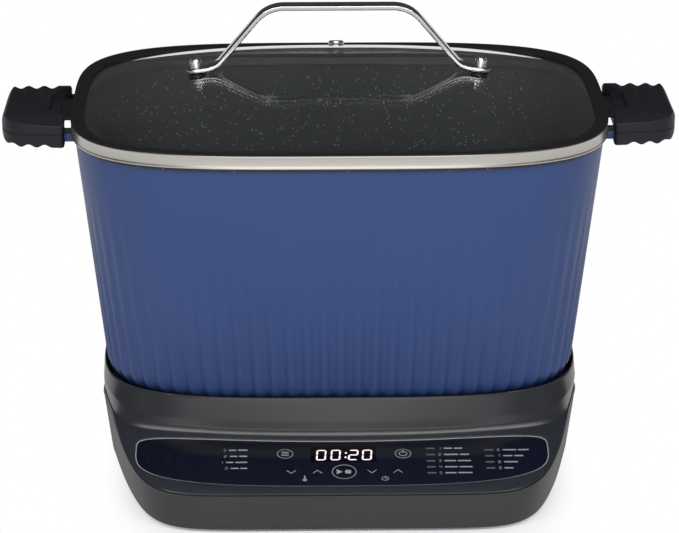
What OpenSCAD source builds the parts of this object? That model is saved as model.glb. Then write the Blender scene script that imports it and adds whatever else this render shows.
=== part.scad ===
// Stirring multicooker: fluted lift-off pot with soft grips, domed glass lid and a heated base
// Millimetres, +Z up, front towards -Y; X = Y = Z = 0 is the middle of the footprint on the table

/* [Pot] */
// Outer width of the pot at its lip
pot_rim_w = 322; // [300:1:340]
// Outer depth of the pot at its lip
pot_rim_d = 244; // [232:1:256]
// Height of the pot from its underside to its lip
pot_h = 159; // [150:1:180]
// Draft of the pot walls in degrees
pot_draft = 6.4; // [5.5:0.1:7]
// Thickness of the cast wall
pot_wall = 3; // [2.6:0.1:4]
// Thickness of the pot floor
pot_floor = 5; // [4:0.5:7]
// Squareness of the plan: 2 is an ellipse, larger is squarer
pot_square = 3.8; // [3:0.1:5]
// Radius around the underside
pot_round = 9; // [6:0.5:9]
// Number of flutes around the wall
flute_count = 88; // [60:1:100]
// Depth of the flutes at the foot of the wall
flute_depth = 1.8; // [0.6:0.1:1.8]
// Height at which the flutes have faded out
flute_h = 132; // [90:1:138]

/* [Side grips] */
// Length of a grip along the pot
grip_l = 86; // [76:1:96]
// Reach of a grip out from its inner edge
grip_w = 40.5; // [37:0.5:44]
// Thickness of a grip
grip_t = 18.4; // [16:0.2:20]
// Space between the pot lip and the inner edge of a grip
grip_gap = 4.5; // [4:0.5:8]
// Pitch of the finger ridges
ridge_pitch = 9.7; // [8:0.1:10]
// Depth of the finger ridges
ridge_depth = 1.4; // [0.8:0.1:2]
// Thickness of the cast handle arms
arm_t = 8; // [6:0.5:9]
// Width of a cast handle arm
arm_w = 8; // [6:0.5:10]

/* [Lid] */
// Overhang of the steel rim beyond the pot lip
lid_over = 2; // [1:0.25:3]
// Height of the steel rim band
lid_rim_h = 8.5; // [7.5:0.25:10]
// Thickness of the rim sheet
lid_sheet = 1; // [0.8:0.1:1.2]
// Visible width of the seal inside the steel rim
seal_w = 4.6; // [4:0.2:8]
// Thickness of the glass
glass_t = 4; // [3.6:0.1:4.2]
// Rise of the glass dome
dome_h = 22; // [16:1:26]
// Distance between the two handle posts
post_span = 173; // [160:1:180]
// Width of the handle strip
strip_w = 11; // [9:0.5:14]
// Thickness of the handle strip
strip_t = 3; // [2.4:0.1:3.6]
// Height of the handle above the crown of the glass
handle_rise = 38; // [32:1:46]
// Width of the flat top of the handle, bend to bend
handle_top_w = 87; // [84:1:104]
// Distance of the steam vent behind the middle of the lid
vent_y = 90; // [84:1:94]

/* [Base] */
// Reach of the base beyond the collar on each side
base_over = 1.1; // [1:0.1:6]
// Reach of the base in front of the pot axis
base_front = 170; // [162:1:176]
// Reach of the base behind the pot axis
base_back = 117; // [116:1:122]
// Share of the width lost towards the front
front_taper = 0.19; // [0.14:0.01:0.2]
// Inward lean of each side wall from the joint line to the bottom
side_draft = 5; // [3:0.5:8]
// Squareness of the front corners
front_square = 9.5; // [6:0.5:10]
// Squareness of the rear corners
rear_square = 4.5; // [4:0.5:6]
// Height of the control shelf at its front edge
shelf_z0 = 25.3; // [23:0.1:26]
// Slope of the control shelf in degrees
shelf_tilt = 12; // [9:0.5:13]
// Height of the joint line along the sides
side_z = 43; // [41:0.5:43.5]
// Height of the top of the collar
collar_z = 60; // [58:0.5:62]
// Depth to which the pot sinks into the collar
pot_sink = 10; // [9:0.5:10.5]
// Thickness of the housing walls
shell_t = 2.6; // [2.2:0.1:3]
// Length that the feet hold the housing off the table
foot_gap = 1; // [1:0.25:3]

/* [Control panel] */
// Half width of the panel
panel_hw = 123; // [110:1:124]
// Depth of the panel along the slope
panel_d = 46; // [38:1:47]
// Thickness of the panel
panel_t = 2; // [1.6:0.1:2.2]
// Width of the display block
display_w = 42; // [36:1:48]

/* [Heating and stirring] */
// Radius of the heating plate
plate_r = 95; // [92:0.5:95]
// Radius of the heating element ring
element_r = 70; // [60:1:74]
// Radius of the drive shaft and of the stirring spindle
shaft_r = 4; // [3.5:0.1:4.5]
// Gear module
gear_m = 0.75; // [0.7:0.01:0.8]
// Teeth on the motor pinion
pinion_teeth = 18; // [16:1:20]
// Teeth on the drive gear
gear_teeth = 72; // [64:1:76]
// Reach of the paddle from the stirring axis
paddle_r = 92; // [80:1:93]
// Height of the paddle
paddle_h = 44; // [36:1:60]
// Radius of the temperature sensor cap
sensor_r = 7.5; // [6:0.5:8]
// Travel of the temperature sensor
sensor_travel = 2; // [1.5:0.1:2.2]

/* [Fits] */
// Radial running clearance of turning shafts
run_gap = 0.05; // [0.03:0.01:0.08]
// Clearance between fixed pieces
seat_gap = 0.3; // [0.2:0.05:0.4]
// Clearance of lifting and sliding pieces
slide_gap = 0.4; // [0.3:0.05:0.6]
// Clearance between the pot and the collar
pot_gap = 0.9; // [0.6:0.1:1.2]

/* [Hidden] */
$fn = 96;
table_z = 0;
base_z = table_z + foot_gap;
floor_z = base_z + 2.8;
plate_z = collar_z - pot_sink;
well_z = plate_z - 4;
well_t = 3;
lip_z = plate_z + pot_h;
inner_z = plate_z + pot_floor;
boss_z = inner_z + 11;
rim_z = lip_z + 0.3;
rim_top = rim_z + lid_rim_h;
rim_hw = pot_rim_w / 2 + lid_over;
rim_hd = pot_rim_d / 2 + lid_over;
glass_d = seal_w + 3.1;
glass_hw = rim_hw - glass_d;
glass_hd = rim_hd - glass_d;
glass_edge = rim_top - 2.1;
post_x = post_span / 2;
pot_y = (base_front - rim_hd) / 2;
well_hw = pot_rim_w / 2 - (lip_z - collar_z) * tan(pot_draft) + pot_gap;
well_hd = pot_rim_d / 2 - (lip_z - collar_z) * tan(pot_draft) + pot_gap;
collar_hw = well_hw + 1.2;
collar_hd = well_hd + 1.2;
base_hw = collar_hw + base_over;
foot_hw = min(collar_hw + 2.2, base_hw - 0.8);
foot_hd = collar_hd + 5;
grip_x = pot_rim_w / 2 + grip_gap;
grip_z = lip_z - 2.7;
grip_up = grip_t * 0.53;
arm_z = lip_z - arm_t - 1;
arm_y = grip_l / 2 - 5 - arm_w / 2;
bar_x = grip_x + grip_w * 0.55;
panel_y0 = -base_front + 7.5;
gear_x = gear_m * (gear_teeth + pinion_teeth) / 2;
gear_out = gear_m * (gear_teeth / 2 + 1);
pinion_out = gear_m * (pinion_teeth / 2 + 1);
case_z = 19;
cover_z = case_z + 10;
shield_z = cover_z + 2;
gear_z = case_z + 4;
element_z = well_z - 6.5;
hub_z = boss_z + 4.2;
sensor_y = -38;

// Plans: a rounded rectangle in the direction a, with half width hw and half depth hd
function unit_r(a, m) = pow(pow(abs(cos(a)), m) + pow(abs(sin(a)), m), -1 / m);
function oval(a, hw, hd, m) = let (r = unit_r(a, m)) [hw * r * cos(a), hd * r * sin(a)];

// Directions that step evenly along the outline
function step_len(i, n, hw, hd, m) = norm(oval((i + 1) * 360 / n, hw, hd, m) - oval(i * 360 / n, hw, hd, m));
function walk(n, hw, hd, m) =
    [for (i = 0, s = 0; i <= n; s = s + step_len(i, n, hw, hd, m), i = i + 1) [s, i * 360 / n]];
function even_angles(count, hw, hd, m) =
    let (t = walk(720, hw, hd, m), total = t[720][0])
    [for (k = [0 : count - 1]) lookup(k * total / count, t)];
fine = even_angles(flute_count * 4, pot_rim_w / 2, pot_rim_d / 2, pot_square);
coarse = [for (k = [0 : 4 : flute_count * 4 - 1]) fine[k]];
lid_angles = even_angles(96, rim_hw, rim_hd, pot_square);
base_angles = even_angles(104, base_hw, (base_front + base_back) / 2, 5);

// Skins: bands of triangles through rings; a ring may have four times the points of its neighbour
function band(a0, na, b0, nb) =
    na == nb
    ? [for (i = [0 : na - 1]) let (k = (i + 1) % na)
        each [[a0 + i, b0 + i, b0 + k], [a0 + i, b0 + k, a0 + k]]]
    : concat(
        [for (i = [0 : na - 1]) let (c = floor((i + 2) / 4) % nb) [a0 + i, b0 + c, a0 + (i + 1) % na]],
        [for (c = [0 : nb - 1]) [a0 + (4 * c + 2) % na, b0 + c, b0 + (c + 1) % nb]]);
function starts(rings) = [for (j = 0, s = 0; j < len(rings); s = s + len(rings[j]), j = j + 1) s];
module skin(rings, looped = false) {
    at = starts(rings);
    k = len(rings);
    last = looped ? k - 1 : k - 2;
    sides = [for (j = [0 : last]) let (h = (j + 1) % k)
        each band(at[j], len(rings[j]), at[h], len(rings[h]))];
    m = len(rings[0]);
    n = len(rings[k - 1]);
    mid = at[k - 1] + n;
    caps = looped ? [] : concat(
        [for (i = [0 : m - 1]) [mid, i, (i + 1) % m]],
        [for (i = [0 : n - 1]) [mid + 1, at[k - 1] + (i + 1) % n, at[k - 1] + i]]);
    ends = looped ? [] : [[0, 0, rings[0][0].z], [0, 0, rings[k - 1][0].z]];
    polyhedron([for (r = rings) each r, each ends], concat(sides, caps), convexity = 10);
}
function lift(p, z) = [p.x, p.y, z];
function oval_ring(angles, hw, hd, z, m = pot_square) = [for (a = angles) lift(oval(a, hw, hd, m), z)];
module at_pot() {
    translate([0, pot_y, 0]) children();
}
module ring_bar(r_out, r_in, z0, z1) {
    translate([0, 0, z0]) difference() {
        cylinder(r = r_out, h = z1 - z0);
        translate([0, 0, -1]) cylinder(r = r_in, h = z1 - z0 + 2);
    }
}

// Pot
function pot_hw(z) = pot_rim_w / 2 - (lip_z - z) * tan(pot_draft);
function pot_hd(z) = pot_rim_d / 2 - (lip_z - z) * tan(pot_draft);
function wave(k) = (1 - cos(90 * k)) / 2;
function flute_ring(z, inset, depth) =
    [for (k = [0 : len(fine) - 1])
        let (p = oval(fine[k], pot_hw(z) - inset, pot_hd(z) - inset, pot_square))
        lift(p * (1 - depth * wave(k) / norm(p)), z)];
function wall_ring(z, inset) = oval_ring(coarse, pot_hw(z) - inset, pot_hd(z) - inset, z);
module pot_body() {
    r_in = 12;
    skin([
        flute_ring(plate_z, pot_round, 0.4 * flute_depth),
        flute_ring(plate_z + 0.134 * pot_round, pot_round * 0.5, 0.7 * flute_depth),
        flute_ring(plate_z + 0.5 * pot_round, pot_round * 0.134, 0.9 * flute_depth),
        flute_ring(plate_z + pot_round, 0, flute_depth),
        flute_ring(plate_z + flute_h, 0, 0),
        wall_ring(lip_z - 1.2, 0),
        wall_ring(lip_z - 0.3, 0.3),
        wall_ring(lip_z, 0.9),
        wall_ring(lip_z, pot_wall - 0.7),
        wall_ring(lip_z - 0.8, pot_wall),
        wall_ring(inner_z + r_in, pot_wall),
        wall_ring(inner_z + 0.5 * r_in, pot_wall + 0.134 * r_in),
        wall_ring(inner_z + 0.134 * r_in, pot_wall + 0.5 * r_in),
        wall_ring(inner_z, pot_wall + r_in)]);
}
module handle_loop(grow) {
    translate([0, 0, arm_z - grow]) linear_extrude(arm_t + 2 * grow) {
        for (s = [-1, 1]) translate([pot_hw(arm_z) - 1.5, s * arm_y - arm_w / 2 - grow])
            square([bar_x - pot_hw(arm_z) + 1.5, arm_w + 2 * grow]);
        translate([bar_x - 5 - grow, -arm_y - arm_w / 2 - grow])
            square([10 + 2 * grow, 2 * arm_y + arm_w + 2 * grow]);
    }
}
module pot_shell() {
    color([0.24, 0.31, 0.5]) at_pot() difference() {
        union() {
            pot_body();
            handle_loop(0);
            mirror([1, 0, 0]) handle_loop(0);
            translate([0, 0, inner_z - 1]) cylinder(r = 15, h = boss_z - inner_z + 1);
        }
        translate([0, 0, plate_z - 1]) cylinder(r = shaft_r + 3 + run_gap, h = boss_z - plate_z + 2);
    }
}

// Side grips
function grip_half(u, thick) =
    let (ripple = u < 7 ? 0 : ridge_depth * (1 - cos(360 * (u - 7) / ridge_pitch)) / 2,
        e = max(0, (u - grip_w + 8) / 8))
    (thick - ripple) * pow(max(0.02, 1 - pow(e, 2.5)), 0.4);
grip_steps = [for (i = [0 : 34]) i * grip_w / 34];
function grip_end(u) = (grip_l / 2 - 3 * u / grip_w) * pow(max(0.06, 1 - pow(max(0, (u - 10) / (grip_w - 10)), 4)), 0.25);
module grip() {
    h = grip_l / 2;
    low = grip_up - grip_t;
    translate([grip_x, 0, grip_z]) difference() {
        union() {
            intersection() {
                rotate([90, 0, 0]) linear_extrude(grip_l + 2, center = true) polygon(concat(
                    [for (u = grip_steps) [u, grip_half(u, grip_up)]],
                    [for (i = [len(grip_steps) - 1 : -1 : 0]) [grip_steps[i], -grip_half(grip_steps[i], -low)]]));
                linear_extrude(2 * grip_t, center = true) polygon(concat(
                    [for (u = grip_steps) [u, grip_end(u)]],
                    [for (i = [len(grip_steps) - 1 : -1 : 0]) [grip_steps[i], -grip_end(grip_steps[i])]]));
                translate([-1, 0, 0]) rotate([90, 0, 90]) linear_extrude(grip_w + 2) polygon([
                    [-h - 1, low - 1], [h + 1, low - 1], [h + 1, grip_up - 5.3], [h - 13, grip_up + 0.1], [13 - h, grip_up + 0.1],
                    [-h - 1, grip_up - 5.3]]);
            }
            translate([2.4 - grip_gap, -20.5, grip_up - 7.6]) cube([grip_gap, 41, 2.5]);
        }
        translate([0, 0, grip_up - 5]) linear_extrude(grip_t) polygon([
            [-1, 10 - h], [0, 10 - h], [11.4, 24.5 - h], [11.4, h - 24.5], [0, h - 10], [-1, h - 10]]);
        translate([-grip_x, 0, -grip_z]) handle_loop(0.12);
    }
}
module grip_right() {
    color([0.14, 0.14, 0.16]) at_pot() grip();
}
module grip_left() {
    color([0.14, 0.14, 0.16]) at_pot() mirror([1, 0, 0]) grip();
}

// Lid
function glass_top(f) = glass_edge + dome_h * (1 - pow(f, 2.2));
function glass_slope(f, span) = atan(2.2 * dome_h * pow(f, 1.2) / span);
post_f = post_x / glass_hw;
function dome_ring(f, drop) = oval_ring(lid_angles, glass_hw * f, glass_hd * f, glass_top(f) - drop,
    2 + (pot_square - 2) * f * f);
dome_steps = [0.12, 0.3, 0.44, post_f - 0.05, post_f + 0.05, 0.72, 0.82, 0.9, 0.96, 1];
glass_over = glass_d - 3.4;
module lid_profile(profile) {
    skin([for (p = profile) oval_ring(lid_angles, rim_hw - p.x, rim_hd - p.x, p.y)], true);
}
module on_post(s) {
    translate([s * post_x, 0, glass_top(post_f)]) rotate([0, s * glass_slope(post_f, glass_hw), 0]) children();
}
module on_vent() {
    f = vent_y / glass_hd;
    translate([0, vent_y, glass_top(f)]) rotate([-glass_slope(f, glass_hd), 0, 0]) children();
}
module lid_glass() {
    color([0.75, 0.8, 0.82, 0.4]) at_pot() difference() {
        skin(concat(
            [for (f = dome_steps) dome_ring(f, glass_t)],
            [oval_ring(lid_angles, glass_hw + glass_over, glass_hd + glass_over, glass_edge - glass_t)],
            [oval_ring(lid_angles, glass_hw + glass_over, glass_hd + glass_over, glass_edge)],
            [for (i = [len(dome_steps) - 1 : -1 : 0]) dome_ring(dome_steps[i], 0)]));
        for (s = [-1, 1]) on_post(s) translate([0, 0, -10]) cylinder(r = 3.4, h = 20);
        on_vent() translate([0, 0, -10]) cylinder(r = 4, h = 20);
    }
}
module lid_rim() {
    t = lid_sheet;
    skirt = lid_over + pot_wall + slide_gap + 5 * tan(pot_draft);
    color([0.78, 0.77, 0.74]) at_pot() lid_profile([
        [0, rim_z], [0, rim_top - 0.5], [0.5, rim_top], [2.6, rim_top], [2.6, rim_top - t], [t, rim_top - t],
        [t, rim_z + t], [skirt + t, rim_z + t], [skirt + t, rim_z - 4.5], [skirt, rim_z - 4.5], [skirt, rim_z]]);
}
module lid_seal() {
    t = lid_sheet + 0.15;
    low = glass_edge - glass_t;
    color([0.07, 0.07, 0.08]) at_pot() lid_profile([
        [t, rim_z + t], [t, rim_top - t], [2.8, rim_top - t], [2.8, rim_top - 0.3], [3.4 + seal_w, rim_top - 1],
        [3.4 + seal_w, glass_edge + 0.15], [3.2, glass_edge + 0.15], [3.2, low - 0.15],
        [3.4 + pot_wall, low - 0.15], [3.4 + pot_wall, rim_z + t]]);
}
washer_t = 1.2;
function bend_at(p) = len(p) < 3 ? [] : [for (i = [1 : len(p) - 2])
    let (a = (p[i - 1] - p[i]) / norm(p[i - 1] - p[i]), b = (p[i + 1] - p[i]) / norm(p[i + 1] - p[i]))
    [p[i], a, b, acos(a * b)]];
function arc_points(bend, r) =
    let (half = bend[3] / 2, mid = (bend[1] + bend[2]) / norm(bend[1] + bend[2]),
        c = bend[0] + mid * r / sin(half), u = bend[0] + bend[1] * r / tan(half) - c,
        turn = cross(bend[1], bend[2]) > 0 ? -1 : 1, sweep = 180 - bend[3])
    [for (k = [0 : 8]) let (q = turn * sweep * k / 8)
        c + [u.x * cos(q) - u.y * sin(q), u.x * sin(q) + u.y * cos(q)]];
function round_path(p, radii) = concat([p[0]],
    [for (i = [0 : len(p) - 3]) each arc_points(bend_at(p)[i], radii[i])], [p[len(p) - 1]]);
function path_dir(p, i) = let (d = p[min(i + 1, len(p) - 1)] - p[max(i - 1, 0)]) d / norm(d);
function thicken(p, t) = concat(
    [for (i = [0 : len(p) - 1]) let (d = path_dir(p, i)) p[i] + [-d.y, d.x] * t / 2],
    [for (i = [len(p) - 1 : -1 : 0]) let (d = path_dir(p, i)) p[i] - [-d.y, d.x] * t / 2]);
module lid_handle() {
    slope = glass_slope(post_f, glass_hw);
    foot = [post_x, glass_top(post_f)] + (washer_t + 0.1 + strip_t / 2) * [sin(slope), cos(slope)];
    out = [cos(slope), -sin(slope)];
    top_z = glass_top(0) + handle_rise - strip_t / 2;
    half = [foot + 6.5 * out, foot - 11.5 * out, [handle_top_w / 2, top_z]];
    path = round_path([half[0], half[1], half[2], [-half[2].x, half[2].y], [-half[1].x, half[1].y],
        [-half[0].x, half[0].y]], [14, 22, 22, 14]);
    color([0.8, 0.79, 0.76]) at_pot() difference() {
        rotate([90, 0, 0]) linear_extrude(strip_w, center = true) polygon(thicken(path, strip_t));
        for (s = [-1, 1]) on_post(s) cylinder(r = 2.55, h = 12);
    }
}
module handle_posts() {
    z0 = washer_t + 0.2 + strip_t;
    color([0.82, 0.81, 0.79]) at_pot() for (s = [-1, 1]) on_post(s) difference() {
        union() {
            translate([0, 0, z0]) cylinder(r = 3.6, h = 5);
            translate([0, 0, z0 + 5]) cylinder(r = 2.9, h = 0.8);
        }
        translate([0, 0, z0 - 1]) cylinder(r = 2.4, h = 4.6);
    }
}
module handle_bolts() {
    low = -glass_t - washer_t - 0.3;
    color([0.7, 0.7, 0.7]) at_pot() for (s = [-1, 1]) on_post(s) {
        translate([0, 0, low - 2]) cylinder(r = 5, h = 2);
        translate([0, 0, low - 0.01]) cylinder(r = 2.38, h = washer_t * 2 + glass_t + strip_t + 3.2);
    }
}
module handle_washers() {
    color([0.1, 0.1, 0.1]) at_pot() for (s = [-1, 1]) on_post(s) {
        ring_bar(5.4, 2.6, 0.1, washer_t);
        ring_bar(5.4, 2.6, -glass_t - washer_t - 0.2, -glass_t - 0.2);
    }
}
module vent_eyelet() {
    color([0.8, 0.79, 0.76]) at_pot() on_vent() rotate_extrude() polygon([
        [1.8, -glass_t - 1.6], [5.4, -glass_t - 1.6], [5.4, -glass_t - 0.3], [3.8, -glass_t - 0.3], [3.8, 0.25],
        [5, 0.25], [5, 2], [4.2, 3], [1.8, 3]]);
}

// Base housings
function base_pt(a, inset, lean = 0) =
    let (r = unit_r(a, sin(a) < 0 ? front_square : rear_square),
        y = r * sin(a) * ((sin(a) < 0 ? base_front : base_back) - inset),
        t = max(0, -y - 45) / (base_front - 45))
    [r * cos(a) * (base_hw * (1 - front_taper * pow(t, 1.1)) - inset - lean), y];
function shelf_z(y) = shelf_z0 + (y + base_front) * tan(shelf_tilt);
function ridge_z(p) = min(shelf_z(p.y), side_z);
function front_share(a) = let (t = min(1, max(0, (-base_pt(a, 0).y - 50) / 60))) t * t * (3 - 2 * t);
function base_ring(inset, drop) = [for (a = base_angles) let (p = base_pt(a, inset)) lift(p, ridge_z(p) - drop)];
function flat_ring(inset, z, lean) = [for (a = base_angles) lift(base_pt(a, inset, lean), z)];
function lip_pt(a, in0, in1, drop) =
    let (p = base_pt(a, in0 + in1 * front_share(a))) lift(p, ridge_z(p) - drop);
function foot_pt(a, inset, rise) =
    let (p = oval(a, foot_hw - inset, foot_hd - inset, pot_square)) lift(p, ridge_z(p) + rise);
function collar_ring(inset, z) = oval_ring(base_angles, collar_hw - inset, collar_hd - inset, z);
function circle_ring(r, z) = [for (a = base_angles) [r * cos(a), r * sin(a), z]];
boss_x = base_hw - 35.5;
boss_xy = [for (y = [-base_front + 108, base_back - 67], s = [-1, 1]) [s * boss_x, y]];
board_x = 45.5 - base_hw;
board_y = base_back - 92;
board_xy = [for (y = [5, 50], x = [5, 65]) [board_x + x, board_y + y]];
foot_xy = [for (s = [-1, 1]) each [[s * (base_hw * (1 - front_taper) - 21.5), -base_front + 42],
    [s * (base_hw - 43.5), base_back - 45]]];
module at_each(places) {
    for (p = places) translate([p.x, p.y, 0]) children();
}
module lower_body() {
    skin([
        flat_ring(3.6, base_z, side_draft),
        flat_ring(1.8, base_z + 0.8, side_draft),
        flat_ring(1.1, base_z + 3.2, 0.92 * side_draft),
        base_ring(0.3, 2.6),
        base_ring(0, 1.9),
        base_ring(0.3, 1.6),
        base_ring(shell_t, 1.6),
        flat_ring(shell_t + 1.4, floor_z + 2, 0.9 * side_draft),
        flat_ring(shell_t + 4, floor_z, side_draft)]);
}
module lower_housing() {
    color([0.3, 0.3, 0.31]) at_pot() difference() {
        union() {
            lower_body();
            at_each(board_xy) translate([0, 0, floor_z - 0.5]) cylinder(r = 3, h = 8.2);
        }
        at_each(boss_xy) {
            translate([0, 0, base_z - 1]) cylinder(r = 4.2, h = 2.5);
            translate([0, 0, base_z - 1]) cylinder(r = 1.8, h = 8);
        }
        at_each(foot_xy) translate([0, 0, base_z - 1]) cylinder(r = 9 + seat_gap, h = 2.2);
        translate([-14, base_back - 12, 9]) cube([28, 20, 21]);
        for (i = [-4 : 4]) translate([i * 9 - 2, -70, base_z - 1]) cube([4, 34, 8]);
    }
}
module upper_body() {
    skin([
        base_ring(0, 1.2),
        [for (a = base_angles) lip_pt(a, 0.3, 0.4, 0.4)],
        [for (a = base_angles) lip_pt(a, 0.6, 1.6, 0)],
        [for (a = base_angles) let (f = 0.06 * front_share(a) + 0.4 * (1 - front_share(a)))
            foot_pt(a, 0, 0.2) * (1 - f) + lip_pt(a, 0.6, 1.6, 0) * f],
        [for (a = base_angles) foot_pt(a, 0.2, 1)],
        [for (a = base_angles) foot_pt(a, 0.4, 3)],
        collar_ring(0, collar_z - 1.6),
        collar_ring(0.5, collar_z - 0.3),
        collar_ring(1, collar_z),
        oval_ring(base_angles, well_hw, well_hd, collar_z - 0.5),
        oval_ring(base_angles, well_hw - 1, well_hd - 1, well_z + 4),
        oval_ring(base_angles, well_hw - 4, well_hd - 4, well_z),
        circle_ring(plate_r - 9, well_z),
        circle_ring(plate_r - 9, well_z - well_t),
        oval_ring(base_angles, well_hw - 6, well_hd - 6, well_z - well_t),
        [for (a = base_angles) foot_pt(a, 5, -3.6)],
        base_ring(shell_t + seat_gap + 0.15 * side_draft, 3.8),
        base_ring(shell_t + seat_gap, 1.2)], true);
}
module on_shelf() {
    translate([0, panel_y0, shelf_z(panel_y0)]) rotate([shelf_tilt, 0, 0]) children();
}
function panel_y(x, s, grow) =
    let (end = 0.8 * panel_d, f = abs(x) / (panel_hw + grow), m = s > 0 ? 5.5 : 3.1,
        h = s > 0 ? panel_d * (0.2 + 0.175 * f * f) + grow : end + grow)
    end + s * h * pow(max(0, 1 - pow(f, m)), 1 / m);
module panel_plan(grow) {
    w = panel_hw + grow;
    xs = [for (i = [0 : 60]) w * sin(90 * (i - 30) / 30)];
    polygon(concat([for (x = xs) [x, panel_y(x, -1, grow)]],
        [for (i = [59 : -1 : 1]) [xs[i], panel_y(xs[i], 1, grow)]]));
}
display_y = panel_d * 0.7;
module upper_housing() {
    color([0.27, 0.27, 0.28]) at_pot() difference() {
        union() {
            upper_body();
            at_each(boss_xy) translate([0, 0, floor_z + seat_gap])
                cylinder(r = 4.5, h = well_z - well_t + 0.5 - floor_z - seat_gap);
            on_shelf() for (s = [-1, 1], y = [10, panel_d - 15]) translate([s * (panel_hw - 32), y, -7.5]) cylinder(r = 3, h = 4.6);
        }
        on_shelf() translate([0, 0, -panel_t - 0.1]) linear_extrude(6) panel_plan(seat_gap);
        on_shelf() translate([-display_w / 2 - seat_gap, display_y - 7.5, -8])
            cube([display_w + 2 * seat_gap, 15, 12]);
        at_each(boss_xy) translate([0, 0, floor_z - 1]) cylinder(r = 1.5 + run_gap, h = 18);
    }
}
module control_panel() {
    color([0.06, 0.07, 0.1]) at_pot() on_shelf() translate([0, 0, -panel_t]) linear_extrude(panel_t) panel_plan(0);
}
module display_module() {
    color([0.12, 0.12, 0.12]) at_pot() on_shelf()
        translate([-display_w / 2, display_y - 7.2, -7.5]) cube([display_w, 14.4, 7.4 - panel_t]);
}
module touch_board() {
    color([0.1, 0.35, 0.2]) at_pot() on_shelf() translate([26 - panel_hw, 5, -9.1])
        cube([2 * panel_hw - 52, panel_d - 12, 1.6]);
}

// Boards and mains inlet
module power_board() {
    color([0.1, 0.35, 0.2]) at_pot() translate([board_x, board_y, floor_z + 7.7]) cube([70, 55, 1.6]);
}
module board_parts() {
    z = floor_z + 9.3;
    color([0.2, 0.2, 0.22]) at_pot() translate([board_x, board_y, z]) {
        translate([4, 11, 0]) cube([20, 16, 13]);
        translate([30, 9, 0]) cube([24, 22, 14]);
        translate([14, 41, 0]) cylinder(r = 6.5, h = 14);
        translate([40, 42, 0]) cube([22, 8, 10]);
    }
}
module power_inlet() {
    color([0.08, 0.08, 0.08]) at_pot() difference() {
        union() {
            translate([-17, base_back + 0.1, 6]) cube([34, 2.4, 27]);
            translate([-13.7, base_back - 22, 9.3]) cube([27.4, 23, 20.4]);
        }
        translate([-12, base_back - 15.5, 11.5]) cube([24, 30, 16]);
    }
}
module inlet_pins() {
    color([0.75, 0.7, 0.5]) at_pot() for (p = [[-7, 18], [0, 22], [7, 18]])
        translate([p.x - 1, base_back - 15.4, p.y - 2.5]) cube([2, 9, 5]);
}
module rubber_feet() {
    color([0.08, 0.08, 0.08]) at_pot() at_each(foot_xy) translate([0, 0, table_z]) cylinder(r = 9, h = foot_gap + 1);
}
module housing_screws() {
    color([0.6, 0.6, 0.62]) at_pot() at_each(boss_xy) {
        translate([0, 0, base_z + 0.2]) cylinder(r = 3.6, h = 1.2);
        translate([0, 0, base_z + 1.3]) cylinder(r = 1.5, h = 16);
    }
}

// Heating
module heating_plate() {
    color([0.62, 0.62, 0.63]) at_pot() difference() {
        union() {
            translate([0, 0, well_z]) cylinder(r = plate_r, h = plate_z - well_z);
            translate([0, 0, well_z - 6]) cylinder(r = plate_r - 10, h = 7);
        }
        translate([0, 0, well_z - 8]) cylinder(r = 16, h = 20);
        translate([0, sensor_y, well_z - 8]) cylinder(r = sensor_r + 0.8, h = 20);
        translate([0, 0, element_z]) rotate_extrude() translate([element_r, 0]) circle(r = 4.1);
    }
}
module heating_element() {
    color([0.45, 0.42, 0.4]) at_pot() translate([0, 0, element_z]) {
        rotate([0, 0, 105]) rotate_extrude(angle = 330) translate([element_r, 0]) circle(r = 4);
        for (a = [107.5, 432.5]) rotate([0, 0, a]) translate([element_r, 0, -6]) cylinder(r = 2, h = 6);
    }
}
module thermal_cutout() {
    color([0.85, 0.84, 0.8]) at_pot() translate([-8, 36, well_z - 12]) cube([16, 12, 6]);
}
module heat_shield() {
    color([0.72, 0.72, 0.73]) at_pot() difference() {
        union() {
            translate([0, 0, shield_z]) cylinder(r = plate_r + 6, h = 1);
            for (a = [45, 135, 225, 315]) rotate([0, 0, a]) translate([plate_r + 1, 0, shield_z])
                cylinder(r = 4, h = well_z - well_t - shield_z);
        }
        translate([0, 0, shield_z - 1]) cylinder(r = 13, h = 4);
    }
}
module sensor_holder() {
    color([0.8, 0.79, 0.75]) at_pot() translate([0, sensor_y, 0])
        ring_bar(sensor_r + 0.5, 3 + slide_gap, shield_z + 1, shield_z + 6);
}
sensor_top = plate_z - 0.3;
module sensor_spring() {
    color([0.75, 0.75, 0.76]) at_pot() translate([0, sensor_y, 0])
        ring_bar(5.4, 4.2, shield_z + 6, sensor_top - 5.5);
}
module sensor_plunger() {
    color([0.8, 0.8, 0.78]) at_pot() translate([0, sensor_y, 0]) {
        translate([0, 0, sensor_top - 5.5]) cylinder(r = sensor_r, h = 5.5);
        translate([0, 0, shield_z + 1.5 + sensor_travel]) cylinder(r = 3, h = sensor_top - shield_z - 4 - sensor_travel);
    }
}

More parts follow.
